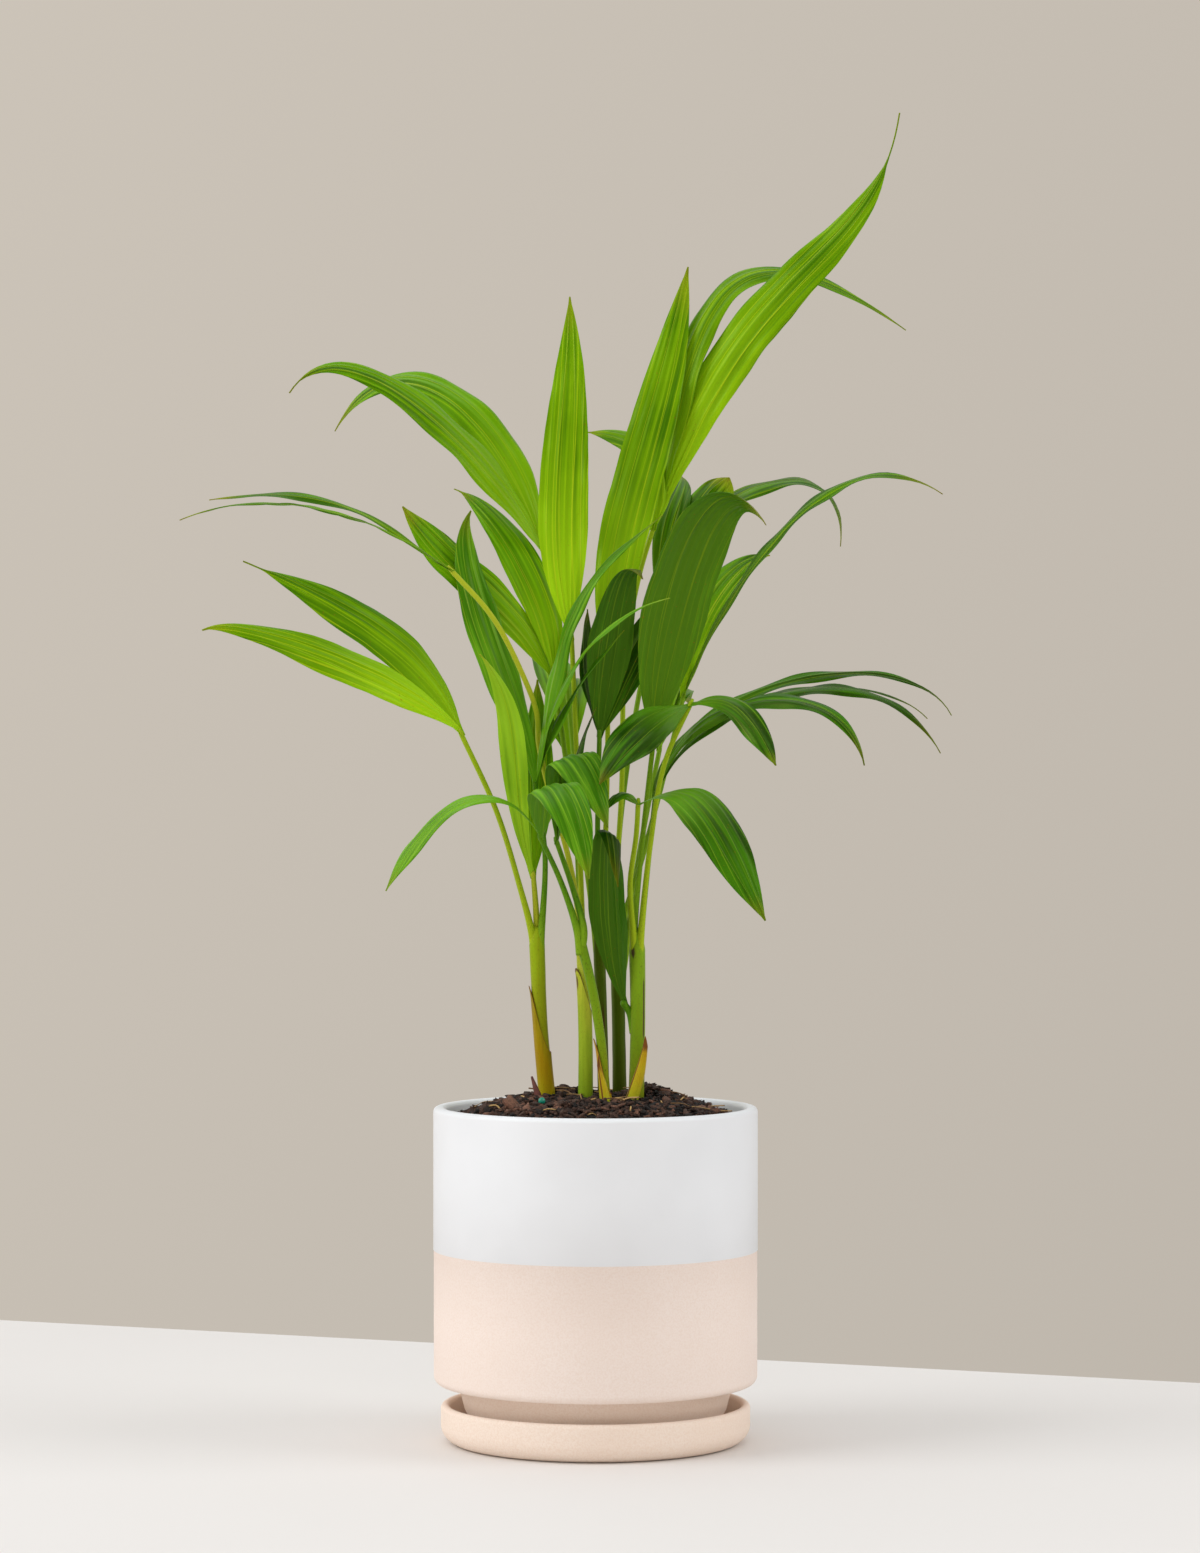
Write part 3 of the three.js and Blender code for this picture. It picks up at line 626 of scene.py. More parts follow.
# The bare heap takes the darkest bark: partly the mix's own colour, partly painted shade in the gaps
# between the chips.
piece("soil_heap", heap, BARK, "soil", "soil")
print("the heap rises from", SOIL_EDGE, "to", SOIL_TOP, "mm")

# %% Copies of one small shape
SOIL_SEED = 11
draw = random.Random(SOIL_SEED)


def copies(bm, doublings):
    """Doubles what is in a bmesh again and again. Gives the corners of each copy, in turn."""
    bm.verts.ensure_lookup_table()
    each = len(bm.verts)
    for _ in range(doublings):
        bmesh.ops.duplicate(bm, geom=bm.verts[:] + bm.edges[:] + bm.faces[:])
    corners = bm.verts[:]
    return [corners[i:i + each] for i in range(0, len(corners), each)]


# %% Bark chips
CHIP_DOUBLINGS = 11
CHIP_LENGTHS = (2.0, 6.5)
WALL_GAP = 1.2
STEM_FEET = [(stem["foot"], stem["radius"][0]) for stem in (*STEMS.values(), *STUBS.values())]
RED_CHIP = (Vector((-41, -25, 168.2)), (9.5, 6.5, 2.6))
# Each mound of loose chips: its height, the X and Y of its middle, and its spread.
MOUNDS = ((5.5, 27, 4, 170), (3.5, -15, 14, 230))


def free_spot(reach, clear):
    """A seeded place on the heap, off the wall and off the feet of the stems."""
    while True:
        radius = (SOIL_RADIUS - WALL_GAP - reach) * math.sqrt(draw.random())
        turn = draw.uniform(0, math.tau)
        x, y = radius * math.cos(turn), radius * math.sin(turn)
        if all(math.hypot(x - fx, y - fy) > size + clear for (fx, fy), size in STEM_FEET):
            return x, y, radius


def on_heap(x, y, radius, lift):
    """A place a little above the heap, and higher on the mounds behind the stems."""
    mounds = sum(height * math.exp(-((x - middle_x) ** 2 + (y - middle_y) ** 2) / spread)
                 for height, middle_x, middle_y, spread in MOUNDS)
    return Vector((x, y, heap_height(radius) + lift + mounds))


def lay_chip(corners, spot, size, tone, knock=0.2):
    """Sizes one block of bark, knocks its corners about, tilts it and lays it down."""
    turn = Quaternion((0, 0, 1), draw.uniform(0, math.tau))
    turn @= Quaternion((0, 1, 0), draw.gauss(0, 0.4))
    turn @= Quaternion((1, 0, 0), draw.gauss(0, 0.45))
    for vert in corners:
        shift = Vector([draw.uniform(-knock, knock) for _ in range(3)])
        vert.co = (spot + turn @ (Vector(size) * (vert.co + shift))) * MM
        vert[chip_tone] = tone


chips = blank()
bmesh.ops.create_cube(chips, size=1.0)
bmesh.ops.subdivide_edges(chips, edges=chips.edges[:], cuts=1, use_grid_fill=True)
bmesh.ops.smooth_vert(chips, verts=chips.verts, factor=0.25,
                      use_axis_x=True, use_axis_y=True, use_axis_z=True)
chip_tone = chips.verts.layers.float["tone"]
blocks = copies(chips, CHIP_DOUBLINGS)
lay_chip(blocks[0], *RED_CHIP, 1.0, 0.1)
for corners in blocks[1:]:
    long = draw.uniform(*CHIP_LENGTHS) * draw.uniform(0.6, 1.0)
    spot = on_heap(*free_spot(long / 2, 0.4 + long * 0.3), draw.uniform(-0.3, 1.3))
    lay_chip(corners, spot, (long, long * draw.uniform(0.35, 0.7), long * draw.uniform(0.2, 0.4)),
             draw.random())
piece("bark_chips", closed(chips), BARK, "soil")
print(len(blocks), "chips lie on the heap")

# %% Crumbs
CRUMB_DOUBLINGS = 11
crumbs = blank()
bmesh.ops.create_icosphere(crumbs, subdivisions=1, radius=1.0)
crumb_tone = crumbs.verts.layers.float["tone"]
balls = copies(crumbs, CRUMB_DOUBLINGS)
for corners in balls:
    size = draw.uniform(0.35, 1.1)
    spot = on_heap(*free_spot(size, 0.2), draw.uniform(0.2, 1.6))
    squash = Vector((1.0, draw.uniform(0.6, 1.0), draw.uniform(0.5, 0.9))) * size
    tone = draw.random() * 0.9
    for vert in corners:
        vert.co = (spot + vert.co * squash * draw.uniform(0.8, 1.15)) * MM
        vert[crumb_tone] = tone
piece("soil_crumbs", closed(crumbs), BARK, "soil")
print(len(balls), "crumbs lie between them")

# %% [markdown]
# ## Straws, a shred of sheath and the bead
#
# The pale straws are short sleeves along bent lines. A shred of dry red-brown sheath stands
# beside the left-hand stem, and in front of it lies a green bead of plant food. It also tells the
# size of the whole plant: such beads are three to four millimetres across.

# %% Small things on the soil
def tube(bm, line, radius_at, rows, around, tone=0.5):
    """A sleeve of rings square to a line. radius_at(share, turn) gives its radius."""
    reference = UP if abs(line.direction(0).z) < 0.9 else Vector((1, 0, 0))
    side = line.direction(0).cross(reference).normalized()
    rings = []
    for row in range(rows + 1):
        share = row / rows
        along = line.direction(share)
        side = (side - along * side.dot(along)).normalized()
        front = along.cross(side)
        ring = []
        for i in range(around):
            turn = math.tau * i / around
            out = side * math.cos(turn) + front * math.sin(turn)
            ring.append((line.point(share) + out * radius_at(share, turn) * MM,
                         (math.cos(turn), share, 0.0, 0.0, tone)))
        rings.append(ring)
    sleeve(bm, rings)


STRAW_COUNT = 46
straws = blank()
for _ in range(STRAW_COUNT):
    long = draw.uniform(4, 13)
    middle = on_heap(*free_spot(long / 2, 1.2), 2.2)
    turn = draw.uniform(0, math.tau)
    heading = Vector((math.cos(turn), math.sin(turn), draw.uniform(-0.1, 0.25)))
    bend = Vector((draw.uniform(-1, 1), draw.uniform(-1, 1), draw.uniform(0, 1.2)))
    ends = [middle - heading * long / 2, middle + bend, middle + heading * long / 2]
    thick = draw.uniform(0.16, 0.42)
    line = through([end * MM for end in ends], 6)
    tube(straws, line, lambda share, turn: thick, 6, 5, draw.random())
piece("straws", closed(straws), STRAW, "soil")

SHRED = fibre_finish("dry_shred", "93564a", "3a1c18")
shred = blank()
SHRED_SPOTS = ((-27.6, -3, 168), (-28.8, -3.4, 172), (-31.6, -3.2, 180.5))
tube(shred, through([Vector(spot) * MM for spot in SHRED_SPOTS]),
     lambda share, turn: (2.5 - 1.9 * share) * (1.0 if abs(math.cos(turn)) > 0.5 else 0.35), 12, 12)
piece("sheath_shred", closed(shred), SHRED, "soil")


def clouded_finish(name, tone, other, scale, detail, most, rough):
    """A plain colour with soft clouds of another."""
    material, tree, skin = shader(name)
    cloud = ramp(tree, speckle(tree, scale, detail), 0.3, 0.7, 0.0, most)
    feed(tree, skin, {"Base Color": painted(tree, tone, (cloud, other)), "Roughness": rough})
    return material


BEAD = clouded_finish("green_bead", "12937a", "0a5a48", 500.0, 2.0, 0.3, 0.25)
BEAD_SPOT = (-26.2, -30, 170.4)
BEAD_SIZE = 3.5
bead = blank()
bmesh.ops.create_icosphere(bead, subdivisions=3, radius=BEAD_SIZE / 2 * MM)
bmesh.ops.translate(bead, verts=bead.verts, vec=Vector(BEAD_SPOT) * MM)
piece("food_bead", closed(bead), BEAD, "soil")
print(STRAW_COUNT, "straws, a shred of sheath and a bead of", BEAD_SIZE, "mm")

# %% [markdown]
# ## Canes
#
# A young areca has no bark: each cane is a stack of leaf sheaths, one rolled inside the other.
# It is smooth and satin, ochre where the oldest sheath dries at the foot, then green, with fine
# lengthwise veins and dark specks. So a cane is one sleeve of rings, fluted by a hair, and its
# finish blends colours along its height and stretches the coordinates that its noise reads. Above
# its top a cane closes round its petioles, so that they grow out of it and no flat end shows.
#
# One function makes the finish of each cane from its own colours, because no two are alike here.
# The two canes at the back have dark greens that are painted shade inside the clump.

# %% Finish of canes and petioles
def streaked(tree, across, along, detail=2.0, rough=0.5):
    """Noise whose coordinates are squeezed along the height, for streaks that run up a cane."""
    feeds = {"Vector": add(tree, "TexCoord").outputs["Object"], "Scale": (across, across, along)}
    place = add(tree, "Mapping", feeds).outputs["Vector"]
    return speckle(tree, 1.0, detail, rough, place)


def cane_finish(name, foot, middle, top, scar, specks=0.5):
    """A finish from the colours of the foot, the middle and the top, and of scars and specks."""
    material, tree, skin = shader(name)
    streaks = streaked(tree, 900.0, 40.0, 2.0, 0.6)
    clouds = streaked(tree, 160.0, 40.0)
    pricks = streaked(tree, 2600.0, 1100.0, 1.0)
    level = plus(tree, attribute(tree, "along"), times(tree, plus(tree, clouds, -0.5), 0.4))
    ragged = plus(tree, attribute(tree, "rib"), times(tree, plus(tree, streaks, -0.5), 0.5))
    body = painted(
        tree, foot,
        (ramp(tree, level, 0.0, 0.45), middle),
        (ramp(tree, level, 0.5, 0.95), top),
        (ramp(tree, streaks, 0.3, 0.75, 0.0, 0.35), foot),
        (ramp(tree, pricks, 0.64, 0.7, 0.0, specks), scar),
        (ramp(tree, ragged, 0.25, 0.7, 0.0, 0.9), scar))
    feed(tree, skin, {
        "Base Color": body, "Roughness": ramp(tree, clouds, 0.2, 0.8, 0.35, 0.5),
        "Specular IOR Level": 0.3, "Specular Tint": (0.9, 1.0, 0.15, 1.0),
        "Normal": bump(tree, streaks, 0.3, 0.1)})
    return material


# The back left and back canes are dark with painted shade.
CANE_FINISHES = {
    "left": cane_finish("cane_ochre", "968c14", "8a9212", "96b21a", "4c4416"),
    "middle": cane_finish("cane_fresh", "8f9c18", "a8b428", "b6bf3c", "4d2a20"),
    "front": cane_finish("cane_speckled", "8a9214", "72981a", "5f9018", "3c2a1a", 0.9),
    "back_left": cane_finish("cane_shaded", "42420e", "3a5208", "465f0c", "3a1a12", 0.9),
    "back": cane_finish("cane_deep_shade", "3c4a08", "3a5206", "5d7c10", "341c14"),
    "right": cane_finish("cane_bright", "7d8c18", "74981a", "7da61e", "442428"),
}
print(len(CANE_FINISHES), "cane finishes")

# %% Canes
CANE_BASE = 169.3
CANE_ROOTED = 2.5
CANE_ROWS = 60
CANE_AROUND = 36
CLOSING = 9.0
CLOSED_SHARE = 0.5
CLOSING_ROWS = 8
FLUTES = 14
FLUTE_DEPTH = 0.04
UNEVEN = 0.12
STUB_THINNED = 0.35
LINE_STEPS = 32


def cane_line(foot, tip, bow):
    """The middle line of a cane: straight from foot to tip, plus a bow in X."""
    start = Vector((*foot, CANE_BASE))
    shares = [i / LINE_STEPS for i in range(LINE_STEPS + 1)]
    return [start.lerp(Vector(tip), share) + Vector((bow * math.sin(math.pi * share), 0, 0))
            for share in shares]


def cane_radius(radii, share):
    """Three radii, at the foot, the middle and the top."""
    low, middle, high = radii
    return mix(low, middle, share * 2) if share < 0.5 else mix(middle, high, share * 2 - 1)


def cane_middle(points, height):
    """The middle of a cane at a height, and the share of the way up."""
    share = min(max((height - points[0].z) / (points[-1].z - points[0].z), 0.0), 1.0)
    where = share * (len(points) - 1)
    i = min(int(where), len(points) - 2)
    middle = points[i].lerp(points[i + 1], where - i)
    return Vector((middle.x, middle.y, height)), share


def spoke(turn):
    """The level direction at a turn round a cane."""
    return Vector((math.cos(turn), math.sin(turn), 0))


def cane_rings(points, radii, mark=None, closing=CLOSING, end=CLOSED_SHARE):
    """Level rings up a cane, from down in the soil to where the top closes round its petioles."""
    foot, tip = points[0].z, points[-1].z
    rows = [(foot - CANE_ROOTED, 1.0)]
    rows += [(mix(foot, tip, i / CANE_ROWS), 1.0) for i in range(CANE_ROWS + 1)]
    rows += [(tip + closing * i / CLOSING_ROWS, mix(1.0, end, (i / CLOSING_ROWS) ** 1.3))
             for i in range(1, CLOSING_ROWS + 1)]
    rings = []
    for height, shrink in rows:
        middle, share = cane_middle(points, height)
        ring = []
        for k in range(CANE_AROUND):
            turn = math.tau * k / CANE_AROUND
            out = spoke(turn)
            flute = FLUTE_DEPTH * math.sin(FLUTES * turn + 3 * share)
            flute += UNEVEN * noise.noise(out + middle / 12)
            size = (cane_radius(radii, share) + flute) * shrink
            marks = (turn / math.tau, share, mark(height, turn) if mark else 0.0, 0.0, 0.5)
            ring.append(((middle + out * size) * MM, marks))
        rings.append(ring)
    return rings


def near(value, centre, spread):
    """1 at the centre, falling to 0 at the spread."""
    return max(0.0, 1.0 - abs(value - centre) / spread)


def facing(turn, centre, narrow):
    """How far a turn, in radians, faces a direction that is given in degrees."""
    return max(0.0, math.cos(turn - math.radians(centre))) ** narrow


# Dark scars and split edges, as shares by height and turn.
CANE_MARKS = {
    "right": lambda height, turn: max(
        near(height, 242, 5) * facing(turn, 238, 20),
        min(1.0, 3 * near(height, 214, 18)) * facing(turn, 322, 90)),
    "back": lambda height, turn: min(1.0, 3 * near(height, 188, 14)) * facing(turn, 348, 60),
    "back_left": lambda height, turn: near(height, 206, 20) * facing(turn, 290, 30),
    "front": lambda height, turn: near(height, 190, 20) * facing(turn, 200, 60),
}
cane_lines = {}
for name, stem in STEMS.items():
    points = cane_line(stem["foot"], (*stem["top"], stem["height"]), stem["bow"])
    cane_lines[name] = points
    bm = blank()
    sleeve(bm, cane_rings(points, stem["radius"], CANE_MARKS.get(name)))
    piece(f"cane_{name}", closed(bm), CANE_FINISHES[name], "cane", f"stem_{name}")
print(len(cane_lines), "canes stand in the soil")

# %% [markdown]
# ## Dry sheaths
#
# The outermost sheath of a cane is an old one. It has dried to olive or yellow, and its maroon
# edge runs round the cane at a slant, up to a point on one side. Each is a thin shell: a grid is
# rolled round the cane, its top edge is drawn up to the point, the two long edges are welded, and
# solidify gives the wall its thickness.

# %% Sheaths round the canes
SHEATH_AROUND = 40
SHEATH_ROWS = 34
SHEATH_WALL = 0.3
SHEATH_OFF = 0.22
SHEATH_FLARE = 0.2
POINT_FLARE = 0.6
POINT_LENGTH = 8
SHEATH_FINISHES = {
    "ochre": cane_finish("sheath_ochre", "b4a616", "a2800a", "8c780c", "6e2f1c", 0.4),
    "green": cane_finish("sheath_green", "7c9a1c", "98b02a", "bcc03a", "5a2a24", 0.3),
    "yellow": cane_finish("sheath_yellow", "b4b424", "c0a41c", "b8881c", "6b2b22", 0.4),
}
# Each sheath: its cane, its finish, how high it wraps, the height and turn of its point, and how
# steeply it is drawn up to it.
SHEATHS = (
    ("left", "ochre", 192, 225, 182, 1.6),
    ("middle", "green", 211, 234, 212, 1.5),
    ("front", "yellow", 173, 200, 190, 2.0),
)
SCAR = {"middle": lambda height, turn: near(height, 227, 7) * facing(turn, 208, 24)}


def sheath(bm, points, radii, full, tip, turned_to, steep, scar=None):
    """A rolled shell round a cane, with its top edge drawn up to a point."""
    def corner(around, row):
        turn = math.tau * around
        toward = (1 + math.cos(turn - math.radians(turned_to))) / 2
        edge = full + (tip - full) * toward ** steep
        height = mix(CANE_BASE - 1.5, edge, row)
        middle, share = cane_middle(points, height)
        point = max(0.0, (height - tip + POINT_LENGTH) / POINT_LENGTH)
        lifted = SHEATH_OFF + SHEATH_FLARE * row ** 4 + POINT_FLARE * point ** 2
        size = cane_radius(radii, share) + lifted + 0.05 * math.sin(9 * turn + 4 * row)
        rim = max(0.0, 1.0 - (edge - height))
        if scar:
            rim = max(rim, scar(height, turn))
        return (middle + spoke(turn) * size) * MM, (turn, row, rim, 0.0, 0.5)

    roll_up(bm, SHEATH_AROUND, SHEATH_ROWS, corner)
    bmesh.ops.solidify(closed(bm), geom=bm.faces[:], thickness=SHEATH_WALL * MM)
    return bm


for name, finish, *shape in SHEATHS:
    shell = sheath(blank(), cane_lines[name], STEMS[name]["radius"], *shape, SCAR.get(name))
    piece(f"sheath_{name}", shell, SHEATH_FINISHES[finish], "sheath")

STUB_EDGES = {"right": 205, "front": 235}
for name, stub in STUBS.items():
    points = cane_line(stub["foot"], stub["tip"], stub["bow"])
    thick, thin = stub["radius"]
    radii = (thick, mix(thick, thin, STUB_THINNED), thin)
    split = STUB_EDGES[name]
    tip = stub["tip"][2]
    bm = blank()
    sleeve(bm, cane_rings(
        points, radii, lambda height, turn: max(near(height, tip + 3, 9), facing(turn, split, 30)),
        5.0, 0.15))
    piece(f"stub_of_sheath_{name}", closed(bm), SHEATH_FINISHES["yellow"], "sheath", f"stub_{name}")
print(len(SHEATHS), "sheaths and", len(STUBS), "stubs")

# %% [markdown]
# ## Petioles
#
# A petiole leaves its cane as a thin green stalk and ends at the hand, where the leaflets part.
# Each is a tube along the frond's measured line. It starts inside the closing top of its cane,
# stout as a rolled sheath, and thins over its first few centimetres.

# %% Petiole lines
PETIOLE_RADIUS = (1.45, 1.25)
PETIOLE_ROWS_PER_MM = 0.45
PETIOLE_AROUND = 14
SHEATHED = 0.6
SHEATHED_REACH = 26
ROUNDED_FROM = 0.97
ROUNDED_BY = 0.5


def petiole_line(plan):
    """A frond's line, from inside its cane to its hand."""
    stem = STEMS[plan["stem"]]
    points = cane_lines[plan["stem"]]
    out = spoke(math.radians(plan["turn"]))
    if plan["drop"]:
        middle, share = cane_middle(points, stem["height"] - plan["drop"])
        side = cane_radius(stem["radius"], share)
        stops = [middle + out * (side - 1.5) - UP * 5, middle + out * (side + 0.4) + UP * 5]
    else:
        inside_by = stem["radius"][2] - PETIOLE_RADIUS[0] - 0.9
        stops = [points[-1] + out * inside_by - UP * 8, points[-1] + out * plan["off"] + UP * 4]
    return through([stop * MM for stop in (*stops, *map(Vector, plan["path"]))])


def petiole_radius(share, long):
    """Stout near the cane, then thin, and rounded off at the hand."""
    stout = SHEATHED * math.exp(-(share * long / SHEATHED_REACH) ** 2)
    rounded = ROUNDED_BY * max(0.0, (share - ROUNDED_FROM) / (1 - ROUNDED_FROM)) ** 2
    return mix(*PETIOLE_RADIUS, share) + stout - rounded


# A plain, a sunlit and a shaded copy of one green, as for the leaflets: painted light and shade. The
# yellow is the stalks' own colour.
PETIOLE_FINISHES = {
    "leaf": cane_finish("petiole_green", "7fa01e", "6c961c", "6f9a1a", "3e4216"),
    "leaf_bright": cane_finish("petiole_sunlit", "a6bc20", "9ab41e", "98b41c", "5c5a1e", 0.5),
    "leaf_dark": cane_finish("petiole_shaded", "7ea41e", "4c8416", "447a12", "2c3010", 0.7),
    "yellow": cane_finish("petiole_yellow", "b4bc2e", "b2b82c", "aab62a", "6e5c22", 0.5),
}
print(len(PETIOLE_FINISHES), "petiole finishes")

# %% [markdown]
# ## Leaflets
#
# A leaflet is a ribbon that is pleated along its length: one or two ribs stand out as thin
# yellow lines, the finer veins between them make soft folds, and the whole is slightly arched
# and wavy. So each ring of its sleeve has an upper and a lower row of corners, strung across the
# blade, and every fold, arch and ripple is a height above the blade's middle that both rows
# share. Corners sit close together beside a rib, so that its line stays thin.
#
# The rib is one curve whose two handles stand above the straight line from the hand to the tip,
# and the blade's face is square to it, rolled by an angle that changes from root to tip.

# %% The rib and the width of a leaflet
ROOT_SUNK = 4
ROOT_HALF_WIDTH = 1.4
TIP_HALF_WIDTH = 0.4
RIB_POINTS = 96


def rib_line(leaflet, hand, arriving):
    """The middle line of a leaflet, and its level direction across."""
    root = Vector(hand) - arriving * ROOT_SUNK
    tip = Vector(hand) + Vector(leaflet["to"])
    outward = Vector((leaflet["to"][0], leaflet["to"][1], 0)).normalized()
    across = outward.cross(UP)
    above = across.cross(tip - root).normalized()
    handles = []
    for share, height, *aside in leaflet["bends"]:
        handles.append(root + (tip - root) * share + above * height + across * sum(aside))
    curve = interpolate_bezier(root, handles[0], handles[1], tip, RIB_POINTS)
    return Line([Vector(p) * MM for p in curve]), across


def half_width(leaflet, share):
    """Half the width of the blade at a share of its length, in millimetres."""
    widest = leaflet["widest"]
    full = leaflet["width"] / 2
    if share < widest:
        return max(full * math.sin(math.pi / 2 * share / widest), ROOT_HALF_WIDTH)
    draw_in = min(max((share - widest) / (1 - leaflet["tail"] - widest), 0), 1)
    return max(full * (1 - draw_in ** leaflet["taper"]), TIP_HALF_WIDTH)


# %% One leaflet
BLADE_ROWS = 60
STATION = 0.95
RIB_HALF_WIDTH = 0.24
RIB_PROUD = 0.1
BROAD = 15
PLEAT = 4.4
PLEAT_DEPTH = 0.45
CREASE_GAP = 2.8
CREASE_LENGTH = 80
RIPPLE = 0.9
RIPPLE_LENGTHS = (34, 52)
LUMP = 0.35
LUMP_LENGTH = 14
CUP = 1.1
FRAY = 0.02
FRAY_LENGTH = 9
THICK = 0.5
THIN = 0.2


def stations(width):
    """Shares across the blade, -1 to 1, with three close ones at each rib."""
    ribs = (-0.34, 0.3) if width >= BROAD else (0.04,)
    count = max(6, round(width / STATION))
    pinch = 2 * RIB_HALF_WIDTH / width
    even = [-1 + 2 * i / count for i in range(count + 1)]
    kept = [s for s in even if all(abs(s - rib) > pinch * 1.7 for rib in ribs)]
    close = [rib + side * pinch for rib in ribs for side in (-1, 0, 1)]
    return sorted(kept + close), ribs


def leaflet_sleeve(bm, leaflet, hand, arriving):
    """Adds one leaflet: a sleeve pressed flat, strung along its rib."""
    rib, across = rib_line(leaflet, hand, arriving)
    length = rib.length / MM
    shares, ribs = stations(leaflet["width"])
    full = leaflet["width"] / 2
    pleats = max(1, round(leaflet["width"] / PLEAT))
    phase, wander = draw.uniform(0, math.tau), draw.uniform(0, 50)
    waves = length / draw.uniform(*RIPPLE_LENGTHS)
    rings = []
    for row in range(BLADE_ROWS + 1):
        even = row / BLADE_ROWS
        share = even + 0.06 * math.sin(math.tau * even)
        along = rib.direction(share)
        roll = math.radians(mix(*leaflet["roll"], share))
        face = Quaternion(along, roll) @ across.cross(along).normalized()
        side = face.cross(along)
        half = half_width(leaflet, share)
        veined = full * (half / full) ** 0.75
        bloom = min(1.0, half / full) * min(1.0, share / 0.12) * min(1.0, (1 - share) / 0.1)
        middle = rib.point(share)
        reached = share * length
        upper, lower = [], []
        for s in shares:
            close = max(0.0, 1 - min(abs(s - r) for r in ribs) * full / RIB_HALF_WIDTH)
            crease = noise.noise(Vector((s * veined / CREASE_GAP, reached / CREASE_LENGTH, wander)))
            fold = PLEAT_DEPTH * bloom * (0.5 * math.cos(math.pi * pleats * s + wander) + 1.3 * crease)
            bow = -leaflet["arched"] * half * s * s
            cupped = CUP * s * s * max(0.0, 1 - share / 0.07)
            turned_by = math.tau * waves * share + phase + (1.3 if s > 0 else 0)
            wave = RIPPLE * bloom * s * abs(s) * math.sin(turned_by)
            lumps = LUMP * bloom * noise.noise(Vector((s * 1.5, reached / LUMP_LENGTH, wander)))
            height = fold + bow + cupped + wave + lumps
            thick = mix(THICK, THIN, abs(s)) * min(1.0, 0.5 + half / 3)
            frayed = 1 + FRAY * noise.noise(Vector((reached / FRAY_LENGTH, s, wander))) * abs(s)
            place = middle + (side * s * half * frayed + face * height) * MM
            lift = face * (thick / 2 + RIB_PROUD * close) * MM
            upper.append((place + lift, (s * veined, share, close, 0.0, leaflet["tone"])))
            lower.append((place - lift, (s * veined, share, close, 1.0, leaflet["tone"])))
        rings.append(upper + lower[::-1])
    sleeve(bm, rings)
    return length


# %% [markdown]
# ## The green of the leaves
#
# Palm leaves are striped more than they are spotted: hundreds of parallel veins run the whole
# length of a leaflet. The stripes must follow the blade however it bends, so the noise reads the
# marks, across in millimetres and along as a share, and not the object's own coordinates. Broad
# stripes make the pleats, narrow ones the veins, and all draw together a little where the blade
# narrows. Ribs are yellow, and painted fainter on a leaf in the shade. The root is painted
# brighter, as light shining through it, the tip dries to straw and brown, the lower face is
# greyer, and rusty specks are very few.
#
# Light comes through a leaf, which is why the ones against the light glow. That glow is painted
# into the colour, as is the shade of the leaflets deep in the crown, by each leaflet's tone. A
# little subsurface scattering adds some real light through the closed mesh without making it
# see-through.

# %% The leaf finish
LINE_GAP = 3.3
SHEEN_TONE = (0.75, 1.0, 0.12, 1.0)


def stripes(tree, across, along, detail):
    """Noise drawn out along the blade, other for each tone of leaflet."""
    scales = {"across": across, "along": along, "tone": 91.0}
    parts = [times(tree, attribute(tree, mark), scale) for mark, scale in scales.items()]
    place = add(tree, "CombineXYZ", dict(enumerate(parts))).outputs[0]
    return speckle(tree, 1.0, detail, place=place)


